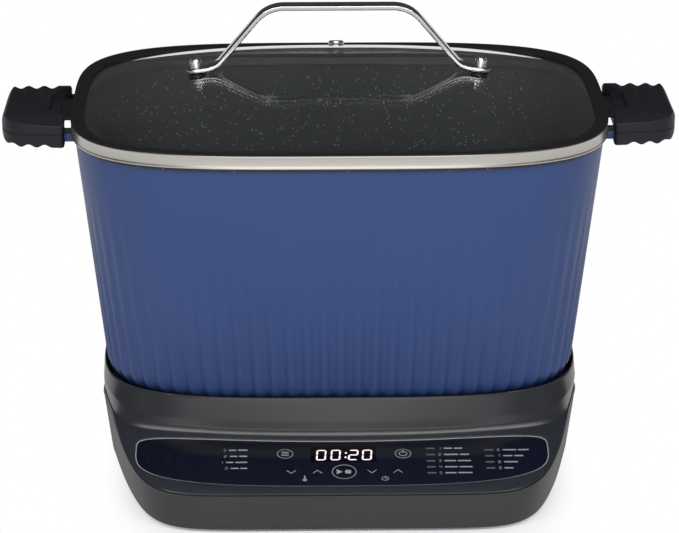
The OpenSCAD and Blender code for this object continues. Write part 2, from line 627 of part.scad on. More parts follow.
// Stirring drive
function involute(rb, t) = [rb * (cos(t) + t * PI / 180 * sin(t)), rb * (sin(t) - t * PI / 180 * cos(t))];
function inv_at(rb, r) = sqrt(max(0, pow(r / rb, 2) - 1)) * 180 / PI;
function polar(r, a) = [r * cos(a), r * sin(a)];
module gear_plan(teeth, play) {
    rp = gear_m * teeth / 2;
    rb = rp * cos(20);
    ra = rp + gear_m;
    rf = rp - 1.25 * gear_m;
    rs = max(rb, rf);
    ip = inv_at(rb, rp);
    off = ip - atan(ip * PI / 180);
    half = 90 / teeth - play / rp * 180 / PI;
    flank = [for (k = [0 : 4]) let (r = rs + (ra - rs) * k / 4, q = inv_at(rb, r), p = involute(rb, q))
        [norm(p), atan2(p.y, p.x) - off - half]];
    polygon([for (i = [0 : teeth - 1]) let (c = 360 * i / teeth) each concat(
        [polar(rf, c + flank[0][1] - 0.3)],
        [for (f = flank) polar(f[0], c + f[1])],
        [for (k = [4 : -1 : 0]) polar(flank[k][0], c - flank[k][1])],
        [polar(rf, c - flank[0][1] + 0.3)])]);
}
module case_plan(grow) {
    circle(r = gear_out + 2.5 + grow);
    translate([gear_x, 0]) circle(r = pinion_out + 3 + grow);
}
module gear_case() {
    color([0.85, 0.85, 0.82]) at_pot() difference() {
        translate([0, 0, case_z]) linear_extrude(cover_z - case_z) case_plan(2.4);
        translate([0, 0, case_z + 2]) linear_extrude(cover_z - case_z) case_plan(0);
        translate([0, 0, case_z - 1]) cylinder(r = shaft_r + 3 + run_gap, h = 4);
        translate([gear_x, 0, case_z - 1]) cylinder(r = 5, h = 4);
    }
}
module gear_cover() {
    color([0.82, 0.82, 0.8]) at_pot() difference() {
        translate([0, 0, cover_z]) linear_extrude(2) case_plan(2.4);
        translate([0, 0, cover_z - 1]) cylinder(r = shaft_r + 4 + run_gap, h = 4);
    }
}
module shaft_bushes() {
    color([0.7, 0.55, 0.3]) at_pot() {
        ring_bar(shaft_r + 3, shaft_r + run_gap, case_z + 0.2, case_z + 3);
        ring_bar(shaft_r + 4, shaft_r + run_gap, cover_z + 0.2, cover_z + 6);
    }
}
module stir_motor() {
    color([0.6, 0.6, 0.62]) at_pot() translate([gear_x, 0, 0]) difference() {
        translate([0, 0, floor_z + 0.9]) cylinder(r = 24, h = case_z - floor_z - 0.9);
        translate([0, 0, case_z - 3]) cylinder(r = 1.5 + run_gap, h = 6);
    }
}
module drive_shaft() {
    color([0.75, 0.75, 0.76]) at_pot() translate([0, 0, case_z - 1]) cylinder(r = shaft_r, h = element_z + 1 - case_z);
}
module drive_gear() {
    color([0.9, 0.9, 0.88]) at_pot() translate([0, 0, gear_z]) difference() {
        rotate([0, 0, 180 / gear_teeth]) linear_extrude(5) gear_plan(gear_teeth, 0.05);
        translate([0, 0, -1]) cylinder(r = shaft_r + 0.02, h = 8);
    }
}
module motor_pinion() {
    color([0.85, 0.8, 0.6]) at_pot() translate([gear_x, 0, 0]) {
        translate([0, 0, gear_z - 0.2]) rotate([0, 0, 180 + (pinion_teeth % 2) * 180 / pinion_teeth])
            linear_extrude(5.4) gear_plan(pinion_teeth, 0.05);
        translate([0, 0, case_z - 2.5]) cylinder(r = 1.5, h = 7);
    }
}
dog_z = element_z + 2;
module drive_coupler() {
    color([0.2, 0.2, 0.21]) at_pot() difference() {
        translate([0, 0, element_z - 1]) cylinder(r = 11.5, h = plate_z - 3.5 - element_z + 1);
        translate([0, 0, element_z - 2]) cylinder(r = shaft_r + 0.02, h = 2.3);
        translate([-2.6, -12, dog_z]) cube([5.2, 24, 12]);
    }
}

// Stirring spindle and paddle
module spindle_bush() {
    color([0.72, 0.58, 0.32]) at_pot() difference() {
        union() {
            translate([0, 0, plate_z + 0.3]) cylinder(r = shaft_r + 3, h = boss_z - plate_z);
            translate([0, 0, boss_z]) cylinder(r = 10, h = 1.5);
        }
        translate([0, 0, plate_z - 1]) cylinder(r = shaft_r + run_gap, h = 30);
        translate([0, 0, boss_z - 1.5]) cylinder(r = shaft_r + 2, h = 6);
    }
}
module spindle_seal() {
    color([0.5, 0.15, 0.12]) at_pot() ring_bar(shaft_r + 1.95, shaft_r + 0.08, boss_z - 1.5, boss_z + 1.4);
}
module stir_spindle() {
    color([0.78, 0.78, 0.77]) at_pot() {
        translate([-2.4, -9, dog_z + 0.5]) cube([4.8, 18, 5.5]);
        translate([0, 0, dog_z + 5.4]) cylinder(r = 9.2, h = plate_z - 0.4 - dog_z - 5.4);
        translate([0, 0, dog_z + 5.4]) cylinder(r = shaft_r, h = hub_z - dog_z - 6);
        translate([0, 0, boss_z + 1.9]) cylinder(r = 6.4, h = hub_z - 0.3 - boss_z - 1.9);
        translate([0, 0, hub_z - 0.5]) cylinder(r = 6.2, h = 24, $fn = 6);
    }
}
module stir_paddle() {
    low = inner_z + 2.5;
    top = low + paddle_h;
    color([0.16, 0.16, 0.17]) at_pot() difference() {
        union() {
            translate([0, 0, hub_z]) cylinder(r = 12, h = top - hub_z);
            for (a = [0, 180]) rotate([0, 0, a]) rotate([90, 0, 0]) linear_extrude(3.6, center = true) polygon([
                [6, hub_z + 1], [18, hub_z + 1], [24, low], [paddle_r - 5, low], [paddle_r, low + 5],
                [paddle_r - 2, low + 22], [paddle_r - 12, low + 26], [30, top - 12], [6, top - 3]]);
        }
        translate([0, 0, hub_z - 1]) cylinder(r = 6.5, h = 26, $fn = 6);
    }
}

lower_housing();
upper_housing();
control_panel();
display_module();
touch_board();
power_board();
board_parts();
heating_plate();
heating_element();
thermal_cutout();
heat_shield();
stir_motor();
gear_case();
gear_cover();
shaft_bushes();
power_inlet();
inlet_pins();
rubber_feet();
housing_screws();
sensor_holder();
sensor_spring();
sensor_plunger();
drive_shaft();
drive_gear();
drive_coupler();
motor_pinion();
pot_shell();
grip_left();
grip_right();
spindle_bush();
spindle_seal();
stir_spindle();
stir_paddle();
lid_glass();
lid_rim();
lid_seal();
lid_handle();
handle_posts();
handle_bolts();
handle_washers();
vent_eyelet();
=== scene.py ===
"""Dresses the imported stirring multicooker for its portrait.

The frame supplies every moving body. This script lays fine meshes over the solids, gives each piece
a procedural finish, and sets up the floor, the lamps and the camera. Sizes are millimetres about
the pot's axis, and become metres where a mesh is made. Lamps and camera are placed in metres.
"""

import logging
import math
from collections.abc import Callable, Sequence
from dataclasses import dataclass
from enum import Enum
from functools import cache
from typing import Any

import bmesh
import bpy
from mathutils import Matrix, Vector


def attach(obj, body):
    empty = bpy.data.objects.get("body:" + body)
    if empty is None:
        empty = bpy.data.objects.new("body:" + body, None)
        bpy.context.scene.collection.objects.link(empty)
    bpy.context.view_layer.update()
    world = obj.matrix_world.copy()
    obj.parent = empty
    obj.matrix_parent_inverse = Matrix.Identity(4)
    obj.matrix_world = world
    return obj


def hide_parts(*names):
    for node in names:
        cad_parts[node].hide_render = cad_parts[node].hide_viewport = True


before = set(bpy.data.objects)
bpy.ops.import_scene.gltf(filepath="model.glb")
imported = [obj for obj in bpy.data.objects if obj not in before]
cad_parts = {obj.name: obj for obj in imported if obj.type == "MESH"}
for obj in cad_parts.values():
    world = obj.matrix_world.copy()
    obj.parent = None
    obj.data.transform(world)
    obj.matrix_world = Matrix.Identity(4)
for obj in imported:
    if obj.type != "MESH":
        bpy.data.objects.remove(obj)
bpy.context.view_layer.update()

log = logging.getLogger("multicooker")
MM = 0.001
# Place of the pot's axis along Y in the frame, in millimetres.
POT_Y = 23.0
# Distance in metres below which two points of a mesh become one.
WELD = 1e-7
# Pieces that an outline is divided into before it is walked in even steps.
FINE_PIECES = 2880
# Points to each rounded corner of a flat box, beyond the first.
CORNER_STEPS = 5
Point = tuple[float, float, float]
Flat = tuple[float, float]
Ring = list[Point]
Colour = tuple[float, float, float]
# Angles in degrees above which an edge stays sharp, on plain pieces and on cut ones.
CREASE = 38.0
CUT_CREASE = 30.0


class Body(Enum):
    """The bodies of the frame that pieces ride on."""

    BASE = "base"
    POT = "pot"
    LID = "lid"
    PADDLE = "paddle"


class Side(Enum):
    """The two sides of the cooker, as signs along X."""

    LEFT = -1
    RIGHT = 1


def srgb(red: int, green: int, blue: int) -> Colour:
    """Turns a screen colour into linear light.

    Args:
        red: Red from 0 to 255.
        green: Green from 0 to 255.
        blue: Blue from 0 to 255.

    Returns:
        The three linear channels.
    """
    shares = [value / 255 for value in (red, green, blue)]
    linear = [s / 12.92 if s <= 0.04045 else ((s + 0.055) / 1.055) ** 2.4 for s in shares]
    return (linear[0], linear[1], linear[2])


def ease(low: float, high: float, value: float) -> float:
    """Steps smoothly from 0 to 1.

    Args:
        low: Value at which the step starts.
        high: Value at which the step is complete.
        value: Value to place on the step.

    Returns:
        A share from 0 to 1.
    """
    share = min(1.0, max(0.0, (value - low) / (high - low)))
    return share * share * (3 - 2 * share)


def quarter(steps: int) -> list[float]:
    """Gives the angles from 0 to a right angle in even steps."""
    return [math.pi / 2 * k / steps for k in range(steps + 1)]


def squared(angle: float, square: float) -> Flat:
    """Gives the point of a squared circle in one direction.

    Args:
        angle: Direction in radians.
        square: Squareness, 2 for a circle and more for a squarer line.

    Returns:
        The point, between -1 and 1 along both axes.
    """
    c, s = math.cos(angle), math.sin(angle)
    reach = (abs(c) ** square + abs(s) ** square) ** (-1 / square)
    return (reach * c, reach * s)


def partway(first: Sequence[float], second: Sequence[float], share: float) -> tuple[float, ...]:
    """Gives the point at a share of the way from one point to another."""
    return tuple(a + (b - a) * share for a, b in zip(first, second))


def even_steps(lengths: Sequence[float], count: int) -> list[tuple[int, float]]:
    """Divides a path of short pieces into even steps.

    Args:
        lengths: Lengths of the pieces in order.
        count: Number of steps.

    Returns:
        The piece that each step starts in, and the share of that piece behind the start.
    """
    total, walked, piece, steps = sum(lengths), 0.0, 0, []
    for k in range(count):
        goal = total * k / count
        while walked + lengths[piece] < goal:
            walked += lengths[piece]
            piece += 1
        steps.append((piece, (goal - walked) / lengths[piece]))
    return steps


class Wire:
    """A shader socket that takes part in arithmetic."""

    def __init__(self, sheet: "Sheet", socket: bpy.types.NodeSocket) -> None:
        """Keeps the socket and the tree that it belongs to."""
        self.sheet = sheet
        self.socket = socket

    def __add__(self, other: "Wire | float") -> "Wire":
        """Adds a value."""
        return self.sheet.math("ADD", self, other)

    def __radd__(self, other: float) -> "Wire":
        """Adds to a number."""
        return self.sheet.math("ADD", other, self)

    def __sub__(self, other: "Wire | float") -> "Wire":
        """Takes a value away."""
        return self.sheet.math("SUBTRACT", self, other)

    def __rsub__(self, other: float) -> "Wire":
        """Takes this away from a number."""
        return self.sheet.math("SUBTRACT", other, self)

    def __mul__(self, other: "Wire | float") -> "Wire":
        """Multiplies by a value."""
        return self.sheet.math("MULTIPLY", self, other)

    def __rmul__(self, other: float) -> "Wire":
        """Multiplies a number."""
        return self.sheet.math("MULTIPLY", other, self)

    def __lt__(self, other: "Wire | float") -> "Wire":
        """Gives 1 where this is the smaller."""
        return self.sheet.math("LESS_THAN", self, other)

    def __gt__(self, other: "Wire | float") -> "Wire":
        """Gives 1 where this is the larger."""
        return self.sheet.math("GREATER_THAN", self, other)

    def twin(self, name: str) -> "Wire":
        """Gives another output of the same node."""
        return Wire(self.sheet, self.socket.node.outputs[name])


class Sheet:
    """The node tree of one material or of the world."""

    def __init__(self, tree: bpy.types.NodeTree) -> None:
        """Takes a tree and empties it."""
        self.tree = tree
        self.tree.nodes.clear()

    def plug(self, socket: bpy.types.NodeSocket, value: Any) -> None:
        """Sets or links one socket.

        Args:
            socket: Input to fill.
            value: A wire, a number, a colour or a vector.
        """
        if isinstance(value, Wire):
            self.tree.links.new(value.socket, socket)
        elif socket.type == "RGBA" and len(value) == 3:
            socket.default_value = (*value, 1.0)
        else:
            socket.default_value = value

    def node(
        self, kind: str, settings: dict[str, Any], sockets: dict[Any, Any], out: int | str = 0
    ) -> Wire:
        """Adds any node.

        Args:
            kind: Type name of the node.
            settings: Properties that are set first.
            sockets: Values or wires by input name or number.
            out: Output that is handed on.

        Returns:
            The output as a wire.
        """
        made = self.tree.nodes.new(kind)
        for name, value in settings.items():
            setattr(made, name, value)
        for name, value in sockets.items():
            self.plug(made.inputs[name], value)
        return Wire(self, made.outputs[out]) if made.outputs else Wire(self, made.inputs[0])

    def math(self, operation: str, *values: Wire | float) -> Wire:
        """Adds a Math node on its values."""
        return self.node("ShaderNodeMath", {"operation": operation}, dict(enumerate(values)))

    def coords(self, stretch: Point = (1.0, 1.0, 1.0)) -> Wire:
        """Gives object coordinates in metres.

        Args:
            stretch: Factors along the three axes.

        Returns:
            The stretched coordinates.
        """
        plain = self.node("ShaderNodeTexCoord", {}, {}, "Object")
        return self.node("ShaderNodeVectorMath", {"operation": "MULTIPLY"}, {0: plain, 1: stretch})

    def noise(self, where: Wire, scale: float, detail: float = 2.0) -> Wire:
        """Adds a noise texture and hands on its value."""
        sockets = {"Vector": where, "Scale": scale, "Detail": detail}
        return self.node("ShaderNodeTexNoise", {}, sockets)

    def cells(self, where: Wire, scale: float) -> Wire:
        """Adds a cell texture and hands on the distance to the nearest cell point."""
        return self.node("ShaderNodeTexVoronoi", {}, {"Vector": where, "Scale": scale}, "Distance")

    def mix(self, share: Wire | float, first: Any, second: Any) -> Wire:
        """Blends two colours.

        Args:
            share: Share of the second colour.
            first: First colour.
            second: Second colour.

        Returns:
            The blended colour.
        """
        return self.node("ShaderNodeMix", {"data_type": "RGBA"}, {0: share, 6: first, 7: second}, 2)

    def bump(self, height: Wire, strength: float, depth: float) -> Wire:
        """Turns a height into a normal, with its depth in metres."""
        sockets = {"Height": height, "Strength": strength, "Distance": depth}
        return self.node("ShaderNodeBump", {}, sockets)

    def rise(
        self, value: Wire, start: float, stop: float, low: float = 0.0, high: float = 1.0
    ) -> Wire:
        """Steps smoothly from one number to another.

        Args:
            value: Value to place on the step.
            start: Value at which the step starts.
            stop: Value at which the step is complete.
            low: Number before the step.
            high: Number after the step.

        Returns:
            A number from low to high.
        """
        sockets = {"Value": value, 1: start, 2: stop, 3: low, 4: high}
        return self.node("ShaderNodeMapRange", {"interpolation_type": "SMOOTHSTEP"}, sockets)

    def surface(self, sockets: dict[str, Any]) -> None:
        """Ends a material with one principled shader."""
        shader = self.node("ShaderNodeBsdfPrincipled", {}, sockets)
        self.node("ShaderNodeOutputMaterial", {}, {"Surface": shader})


@dataclass(frozen=True)
class Finish:
    """A finish that pieces are painted with."""

    name: str
    colour: Colour
    roughness: float

    def lay(self, sheet: Sheet) -> None:
        """Adds this finish's nodes to a sheet."""
        raise NotImplementedError

    def tone(self, factor: float, lift: float = 0.0) -> Colour:
        """Gives the colour made lighter or darker."""
        red, green, blue = (channel * factor + lift for channel in self.colour)
        return (red, green, blue)

    @cache
    def material(self) -> bpy.types.Material:
        """Makes the material, once.

        Returns:
            The material.
        """
        made = bpy.data.materials.new(self.name)
        made.use_nodes = True
        self.lay(Sheet(made.node_tree))
        return made


@dataclass(frozen=True)
class FiredCoat(Finish):
    """Satin coloured coat, fired on cast aluminium."""

    shade: Colour

    def lay(self, sheet: Sheet) -> None:
        """Mottles the coat slightly and gives it a fine orange peel.

        Args:
            sheet: Sheet that takes the nodes.
        """
        where = sheet.coords()
        cloud = sheet.noise(where, scale=22.0, detail=3.0)
        peel = sheet.noise(where, scale=700.0)
        sheet.surface({
            "Base Color": sheet.mix(cloud, self.colour, self.shade),
            "Roughness": self.roughness + cloud * 0.06 + peel * 0.04,
            "Specular IOR Level": 0.3,
            "Normal": sheet.bump(peel, strength=0.12, depth=0.00004),
        })


@dataclass(frozen=True)
class NonStick(Finish):
    """Dark lining with fine pale specks."""

    speck: Colour
    patches: float = 0.5
    speck_size: float = 0.2
    speck_cover: float = 0.6

    def lay(self, sheet: Sheet) -> None:
        """Scatters pale specks over parts of the lining.

        Args:
            sheet: Sheet that takes the nodes.
        """
        where = sheet.coords()
        keep = sheet.noise(where, scale=160.0, detail=1.0) > self.patches
        spots = (sheet.cells(where, scale=420.0) < self.speck_size) * keep
        grain = sheet.noise(where, scale=1200.0)
        sheet.surface({
            "Base Color": sheet.mix(spots * self.speck_cover, self.colour, self.speck),
            "Roughness": self.roughness + grain * 0.12,
            "Specular IOR Level": 0.4,
            "Normal": sheet.bump(grain, strength=0.15, depth=0.0001),
        })


@dataclass(frozen=True)
class Moulding(Finish):
    """Moulded plastic with a fine spark texture."""

    grain: float = 1100.0
    depth: float = 0.00003
    shine: float = 0.34

    def lay(self, sheet: Sheet) -> None:
        """Gives the moulding its grain and a slight unevenness of tone.

        Args:
            sheet: Sheet that takes the nodes.
        """
        where = sheet.coords()
        cloud = sheet.noise(where, scale=14.0, detail=3.0)
        grain = sheet.noise(where, scale=self.grain, detail=3.0)
        sheet.surface({
            "Base Color": sheet.mix(cloud * 0.6 + grain * 0.4, self.tone(0.88), self.tone(1.14)),
            "Roughness": self.roughness + grain * 0.16 - 0.08,
            "Specular IOR Level": self.shine,
            "Normal": sheet.bump(grain, strength=0.25, depth=self.depth),
        })


@dataclass(frozen=True)
class GlossPanel(Finish):
    """Smooth dark touch panel with faint wiping marks."""

    tint: Colour

    def lay(self, sheet: Sheet) -> None:
        """Lets the tint drift across the panel and smears its gloss a little.

        Args:
            sheet: Sheet that takes the nodes.
        """
        drift = sheet.noise(sheet.coords(), scale=9.0, detail=1.0)
        smear = sheet.noise(sheet.coords((60.0, 240.0, 240.0)), scale=1.0, detail=4.0)
        sheet.surface({
            "Base Color": sheet.mix(drift, self.colour, self.tint),
            "Roughness": self.roughness + smear * 0.08,
            "Specular IOR Level": 0.16,
        })


@dataclass(frozen=True)
class SoftRubber(Finish):
    """Matte silicone or rubber with a velvety skin."""

    shine: float = 0.2

    def lay(self, sheet: Sheet) -> None:
        """Adds fine grain and a trace of dust.

        Args:
            sheet: Sheet that takes the nodes.
        """
        where = sheet.coords()
        dust = sheet.noise(where, scale=45.0, detail=5.0)
        grain = sheet.noise(where, scale=1500.0)
        sheet.surface({
            "Base Color": sheet.mix(dust, self.colour, self.tone(1.3, 0.001)),
            "Roughness": self.roughness + grain * 0.14,
            "Specular IOR Level": self.shine,
            "Normal": sheet.bump(grain, strength=0.2, depth=0.00003),
        })


@dataclass(frozen=True)
class Steel(Finish):
    """Stainless steel, brushed along the two directions with the small factors."""

    stretch: Point
    streak: float

    def lay(self, sheet: Sheet) -> None:
        """Draws brush lines in the colour, the gloss and the surface.

        Args:
            sheet: Sheet that takes the nodes.
        """
        lines = sheet.noise(sheet.coords(self.stretch), scale=1.0, detail=4.0)
        cloud = sheet.noise(sheet.coords(), scale=16.0)
        sheet.surface({
            "Base Color": sheet.mix(lines, self.tone(1 - self.streak), self.colour),
            "Metallic": 1.0,
            "Roughness": self.roughness + lines * 0.1 + cloud * 0.06 - 0.06,
            "Normal": sheet.bump(lines, strength=0.08, depth=0.0001),
        })


@dataclass(frozen=True)
class TurnedMetal(Finish):
    """Metal with the fine rings that a lathe leaves around the pot's axis."""

    rings: float = 5200.0

    def lay(self, sheet: Sheet) -> None:
        """Turns the distance from the axis into rings.

        Args:
            sheet: Sheet that takes the nodes.
        """
        level = sheet.coords((1.0, 1.0, 0.0))
        axis = (0.0, POT_Y * MM, 0.0)
        centred = sheet.node("ShaderNodeVectorMath", {"operation": "SUBTRACT"}, {0: level, 1: axis})
        reach = sheet.node("ShaderNodeVectorMath", {"operation": "LENGTH"}, {0: centred}, "Value")
        rings = sheet.math("SINE", reach * self.rings) * 0.5 + 0.5
        stain = sheet.noise(sheet.coords(), scale=30.0, detail=4.0)
        sheet.surface({
            "Base Color": sheet.mix(stain, self.tone(0.8), self.colour),
            "Metallic": 1.0,
            "Roughness": self.roughness + stain * 0.15 + rings * 0.05,
            "Normal": sheet.bump(rings, strength=0.15, depth=0.0001),
        })


@dataclass(frozen=True)
class LidGlass(Finish):
    """Clear tempered glass."""

    def lay(self, sheet: Sheet) -> None:
        """Adds the faintest haze of wiping to clear glass.

        Args:
            sheet: Sheet that takes the nodes.
        """
        haze = sheet.noise(sheet.coords(), scale=25.0, detail=3.0)
        glass = sheet.node("ShaderNodeBsdfPrincipled", {}, {
            "Base Color": self.colour,
            "Roughness": self.roughness + haze * 0.015,
            "IOR": 1.48,
            "Transmission Weight": 1.0,
        })
        clear = sheet.node("ShaderNodeBsdfTransparent", {}, {"Color": self.colour})
        shadow = sheet.node("ShaderNodeLightPath", {}, {}, "Is Shadow Ray")
        both = sheet.node("ShaderNodeMixShader", {}, {0: shadow, 1: glass, 2: clear})
        sheet.node("ShaderNodeOutputMaterial", {}, {"Surface": both})


@dataclass(frozen=True)
class InkAndPaintedHighlight(Finish):
    """Print on the panel, with a trace of unevenness; it also paints the pale line around the
    panel, which is a painted highlight.
    """

    def lay(self, sheet: Sheet) -> None:
        """Varies the coverage of the print and of the painted highlight line slightly.

        Args:
            sheet: Sheet that takes the nodes.
        """
        cover = sheet.noise(sheet.coords(), scale=1800.0, detail=1.0)
        ink_and_highlight_tone = sheet.mix(cover, self.tone(0.8), self.colour)
        sheet.surface({"Base Color": ink_and_highlight_tone, "Roughness": self.roughness})


@dataclass(frozen=True)
class Lamp(Finish):
    """A lit mark that glows through the panel."""

    glow: float

    def lay(self, sheet: Sheet) -> None:
        """Lets the glow vary a little over each mark.

        Args:
            sheet: Sheet that takes the nodes.
        """
        spread = sheet.noise(sheet.coords(), scale=900.0, detail=1.0)
        lit = sheet.mix(spread, self.tone(0.85), self.colour)
        sheet.surface({
            "Base Color": lit,
            "Roughness": self.roughness,
            "Emission Color": lit,
            "Emission Strength": self.glow,
        })


COAT = FiredCoat("pot_fired_blue", srgb(52, 73, 124), roughness=0.40, shade=srgb(48, 69, 117))
LINING = NonStick(
    "pot_nonstick_lining", srgb(44, 44, 46), roughness=0.42, speck=srgb(150, 148, 142))
SILICONE = SoftRubber("grip_black_silicone", srgb(25, 26, 31), roughness=0.42, shine=0.24)
SEAL = SoftRubber("lid_seal_silicone", srgb(24, 24, 26), roughness=0.42)
FOOT = SoftRubber("foot_black_rubber", srgb(26, 26, 26), roughness=0.7)
GLASS = LidGlass("lid_clear_glass", (0.93, 0.965, 0.955), roughness=0.0)
RIM_STEEL = Steel(
    "rim_brushed_steel", (0.56, 0.54, 0.50),
    roughness=0.28, stretch=(30.0, 30.0, 5200.0), streak=0.22)
BAR_STEEL = Steel(
    "handle_polished_steel", (0.58, 0.575, 0.56),
    roughness=0.07, stretch=(60.0, 2600.0, 60.0), streak=0.12)
NUT_STEEL = Steel(
    "post_satin_steel", (0.76, 0.75, 0.73),
    roughness=0.24, stretch=(300.0, 300.0, 3000.0), streak=0.12)
CHARCOAL = Moulding("tray_charcoal", srgb(52, 53, 55), roughness=0.50, grain=1300.0)
COLLAR = Moulding(
    "cover_charcoal", srgb(42, 43, 47), roughness=0.30, grain=1300.0, depth=0.00001, shine=0.46)
PANEL = GlossPanel("panel_gloss_navy", srgb(15, 16, 23), roughness=0.10, tint=srgb(17, 20, 33))
WINDOW = GlossPanel("display_smoke", srgb(4, 3, 5), roughness=0.06, tint=srgb(6, 4, 7))
PRINT = InkAndPaintedHighlight("panel_print", srgb(158, 160, 165), roughness=0.5)
FAINT = InkAndPaintedHighlight("panel_faint_print", srgb(88, 89, 90), roughness=0.5)
# Painted highlight: a pale ring drawn where the pocket's edge around the panel catches the light.
PAINTED_EDGE_HIGHLIGHT = InkAndPaintedHighlight("panel_painted_edge_highlight", srgb(160, 162, 168), roughness=0.4)
DIGITS = Lamp("display_digits", srgb(238, 218, 224), roughness=0.4, glow=0.75)
NYLON = Moulding("paddle_black_nylon", srgb(46, 46, 48), roughness=0.5, grain=900.0)


class Form:
    """A mesh in the making, in millimetres about the pot's axis."""

    def __init__(self) -> None:
        """Starts with no points and no faces."""
        self.points: list[Point] = []
        self.faces: list[tuple[int, ...]] = []

    def band(self, low: int, high: int, count: int) -> None:
        """Adds the quads between two closed rings of points.

        Args:
            low: Number of the first ring's first point.
            high: Number of the second ring's first point.
            count: Points in each ring.
        """
        for i in range(count):
            j = (i + 1) % count
            self.faces.append((low + i, low + j, high + j, high + i))

    def skin(self, rings: Sequence[Ring], looped: bool = False) -> "Form":
        """Stretches quads through closed rings of equal length, and closes open ends with fans.

        Args:
            rings: Rings in order.
            looped: Whether the last ring joins the first.

        Returns:
            This form.
        """
        start, wide, tall = len(self.points), len(rings[0]), len(rings)
        for ring in rings:
            self.points.extend(ring)
        for row in range(tall if looped else tall - 1):
            self.band(start + row * wide, start + (row + 1) % tall * wide, wide)
        for row in () if looped else (0, tall - 1):
            ring, first, hub = rings[row], start + row * wide, len(self.points)
            self.points.append(tuple(sum(p[k] for p in ring) / wide for k in range(3)))
            self.faces.extend((hub, first + i, first + (i + 1) % wide) for i in range(wide))
        return self

    def lathe(self, profile: Sequence[Flat], steps: int = 48, looped: bool = False) -> "Form":
        """Turns a profile of radius and height around Z."""
        turns = [2 * math.pi * i / steps for i in range(steps)]
        return self.skin([circle(turns, radius, z) for radius, z in profile], looped)

    def plate(
        self, outline: Sequence[Flat], low: float, high: float, round_off: float = 0.0
    ) -> "Form":
        """Makes a flat plate from an outline, with rounded edges.

        Args:
            outline: Points of the outline in order.
            low: Height of its lower face.
            high: Height of its upper face.
            round_off: Radius of its edges.

        Returns:
            This form.
        """
        steps = [(0.0, low), (0.0, high)]
        if round_off:
            arc, r = quarter(3), round_off
            steps = [(r * (1 - math.sin(a)), low + r * (1 - math.cos(a))) for a in arc]
            steps += [(r * (1 - math.cos(a)), high - r * (1 - math.sin(a))) for a in arc]
        start, wide = len(self.points), len(outline)
        for inset, z in steps:
            self.points.extend((x, y, z) for x, y in shrink(outline, inset))
        for row in range(len(steps) - 1):
            self.band(start + row * wide, start + (row + 1) * wide, wide)
        stop = len(self.points)
        self.faces.append(tuple(range(start + wide - 1, start - 1, -1)))
        self.faces.append(tuple(range(stop - wide, stop)))
        return self

    def block(self, low: Point, high: Point, radius: float) -> "Form":
        """Makes a block with rounded edges, the level ones a little less than the upright ones.

        Args:
            low: Corner with the least coordinates.
            high: Corner with the greatest coordinates.
            radius: Radius of its upright edges.

        Returns:
            This form.
        """
        half_x, half_y = (high[0] - low[0]) / 2, (high[1] - low[1]) / 2
        cx, cy = (high[0] + low[0]) / 2, (high[1] + low[1]) / 2
        outline = [(cx + x, cy + y) for x, y in round_box(half_x, half_y, radius)]
        return self.plate(outline, low[2], high[2], radius * 0.8)

    def moved(self, matrix: Matrix) -> "Form":
        """Puts every point through a matrix."""
        self.points = [tuple(matrix @ Vector(p)) for p in self.points]
        return self

    def join(self, other: "Form") -> "Form":
        """Takes in the points and faces of another form.

        Args:
            other: Form that is taken in.

        Returns:
            This form.
        """
        start = len(self.points)
        self.points.extend(other.points)
        self.faces.extend(tuple(i + start for i in face) for face in other.faces)
        return self

    def mesh(self, name: str) -> bpy.types.Mesh:
        """Makes the mesh in metres, with its faces turned outwards.

        Args:
            name: Name of the mesh.

        Returns:
            The new mesh.
        """
        made = bpy.data.meshes.new(name)
        spots = [(x * MM, (y + POT_Y) * MM, z * MM) for x, y, z in self.points]
        made.from_pydata(spots, [], self.faces)
        welded = bmesh.new()
        welded.from_mesh(made)
        bmesh.ops.remove_doubles(welded, verts=welded.verts, dist=WELD)
        bmesh.ops.recalc_face_normals(welded, faces=welded.faces)
        welded.to_mesh(made)
        welded.free()
        made.update()
        return made


def shrink(outline: Sequence[Flat], inset: float) -> list[Flat]:
    """Moves an outline inwards along its normals.

    Args:
        outline: Points in anticlockwise order.
        inset: Distance to move, negative to grow.

    Returns:
        The moved points.
    """
    if not inset:
        return list(outline)
    moved, count = [], len(outline)
    for i, (x, y) in enumerate(outline):
        before, after = outline[i - 1], outline[(i + 1) % count]
        dx, dy = after[0] - before[0], after[1] - before[1]
        size = math.hypot(dx, dy) or 1.0
        moved.append((x - dy / size * inset, y + dx / size * inset))
    return moved


def round_box(half_x: float, half_y: float, radius: float) -> list[Flat]:
    """Gives the outline of a rectangle with rounded corners.

    Args:
        half_x: Half its width.
        half_y: Half its depth.
        radius: Radius of its corners.

    Returns:
        Points in anticlockwise order.
    """
    points = []
    for turn, (sx, sy) in enumerate(((1, 1), (-1, 1), (-1, -1), (1, -1))):
        for bend in quarter(CORNER_STEPS):
            angle = math.pi / 2 * turn + bend
            x = sx * (half_x - radius) + radius * math.cos(angle)
            points.append((x, sy * (half_y - radius) + radius * math.sin(angle)))
    return points


def soften(outline: Sequence[Flat], passes: int = 3) -> list[Flat]:
    """Cuts the corners of an outline again and again until they are round.

    Args:
        outline: Points in order.
        passes: Number of times that the corners are cut.

    Returns:
        The rounded outline.
    """
    points = list(outline)
    for _ in range(passes):
        pairs = zip(points, points[1:] + points[:1])
        points = [partway(a, b, share) for a, b in pairs for share in (0.25, 0.75)]
    return points


def circle(angles: Sequence[float], radius: float, z: float) -> Ring:
    """Gives a level round ring."""
    return [(radius * math.cos(a), radius * math.sin(a), z) for a in angles]


def dress(piece: bpy.types.Object, finish: Finish, body: Body, slot: str, *nodes: str) -> None:
    """Paints a piece and ties it to the frame.

    Args:
        piece: Object to dress.
        finish: Finish that it is painted with.
        body: Body that it rides on.
        slot: Not used.
        *nodes: Nodes of the frame that it stands for.
    """
    piece.data.materials.clear()
    piece.data.materials.append(finish.material())
    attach(piece, body.value)
    if nodes:
        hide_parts(*nodes)
    log.info("piece %s rides on %s with %d faces", piece.name, body.value, len(piece.data.polygons))


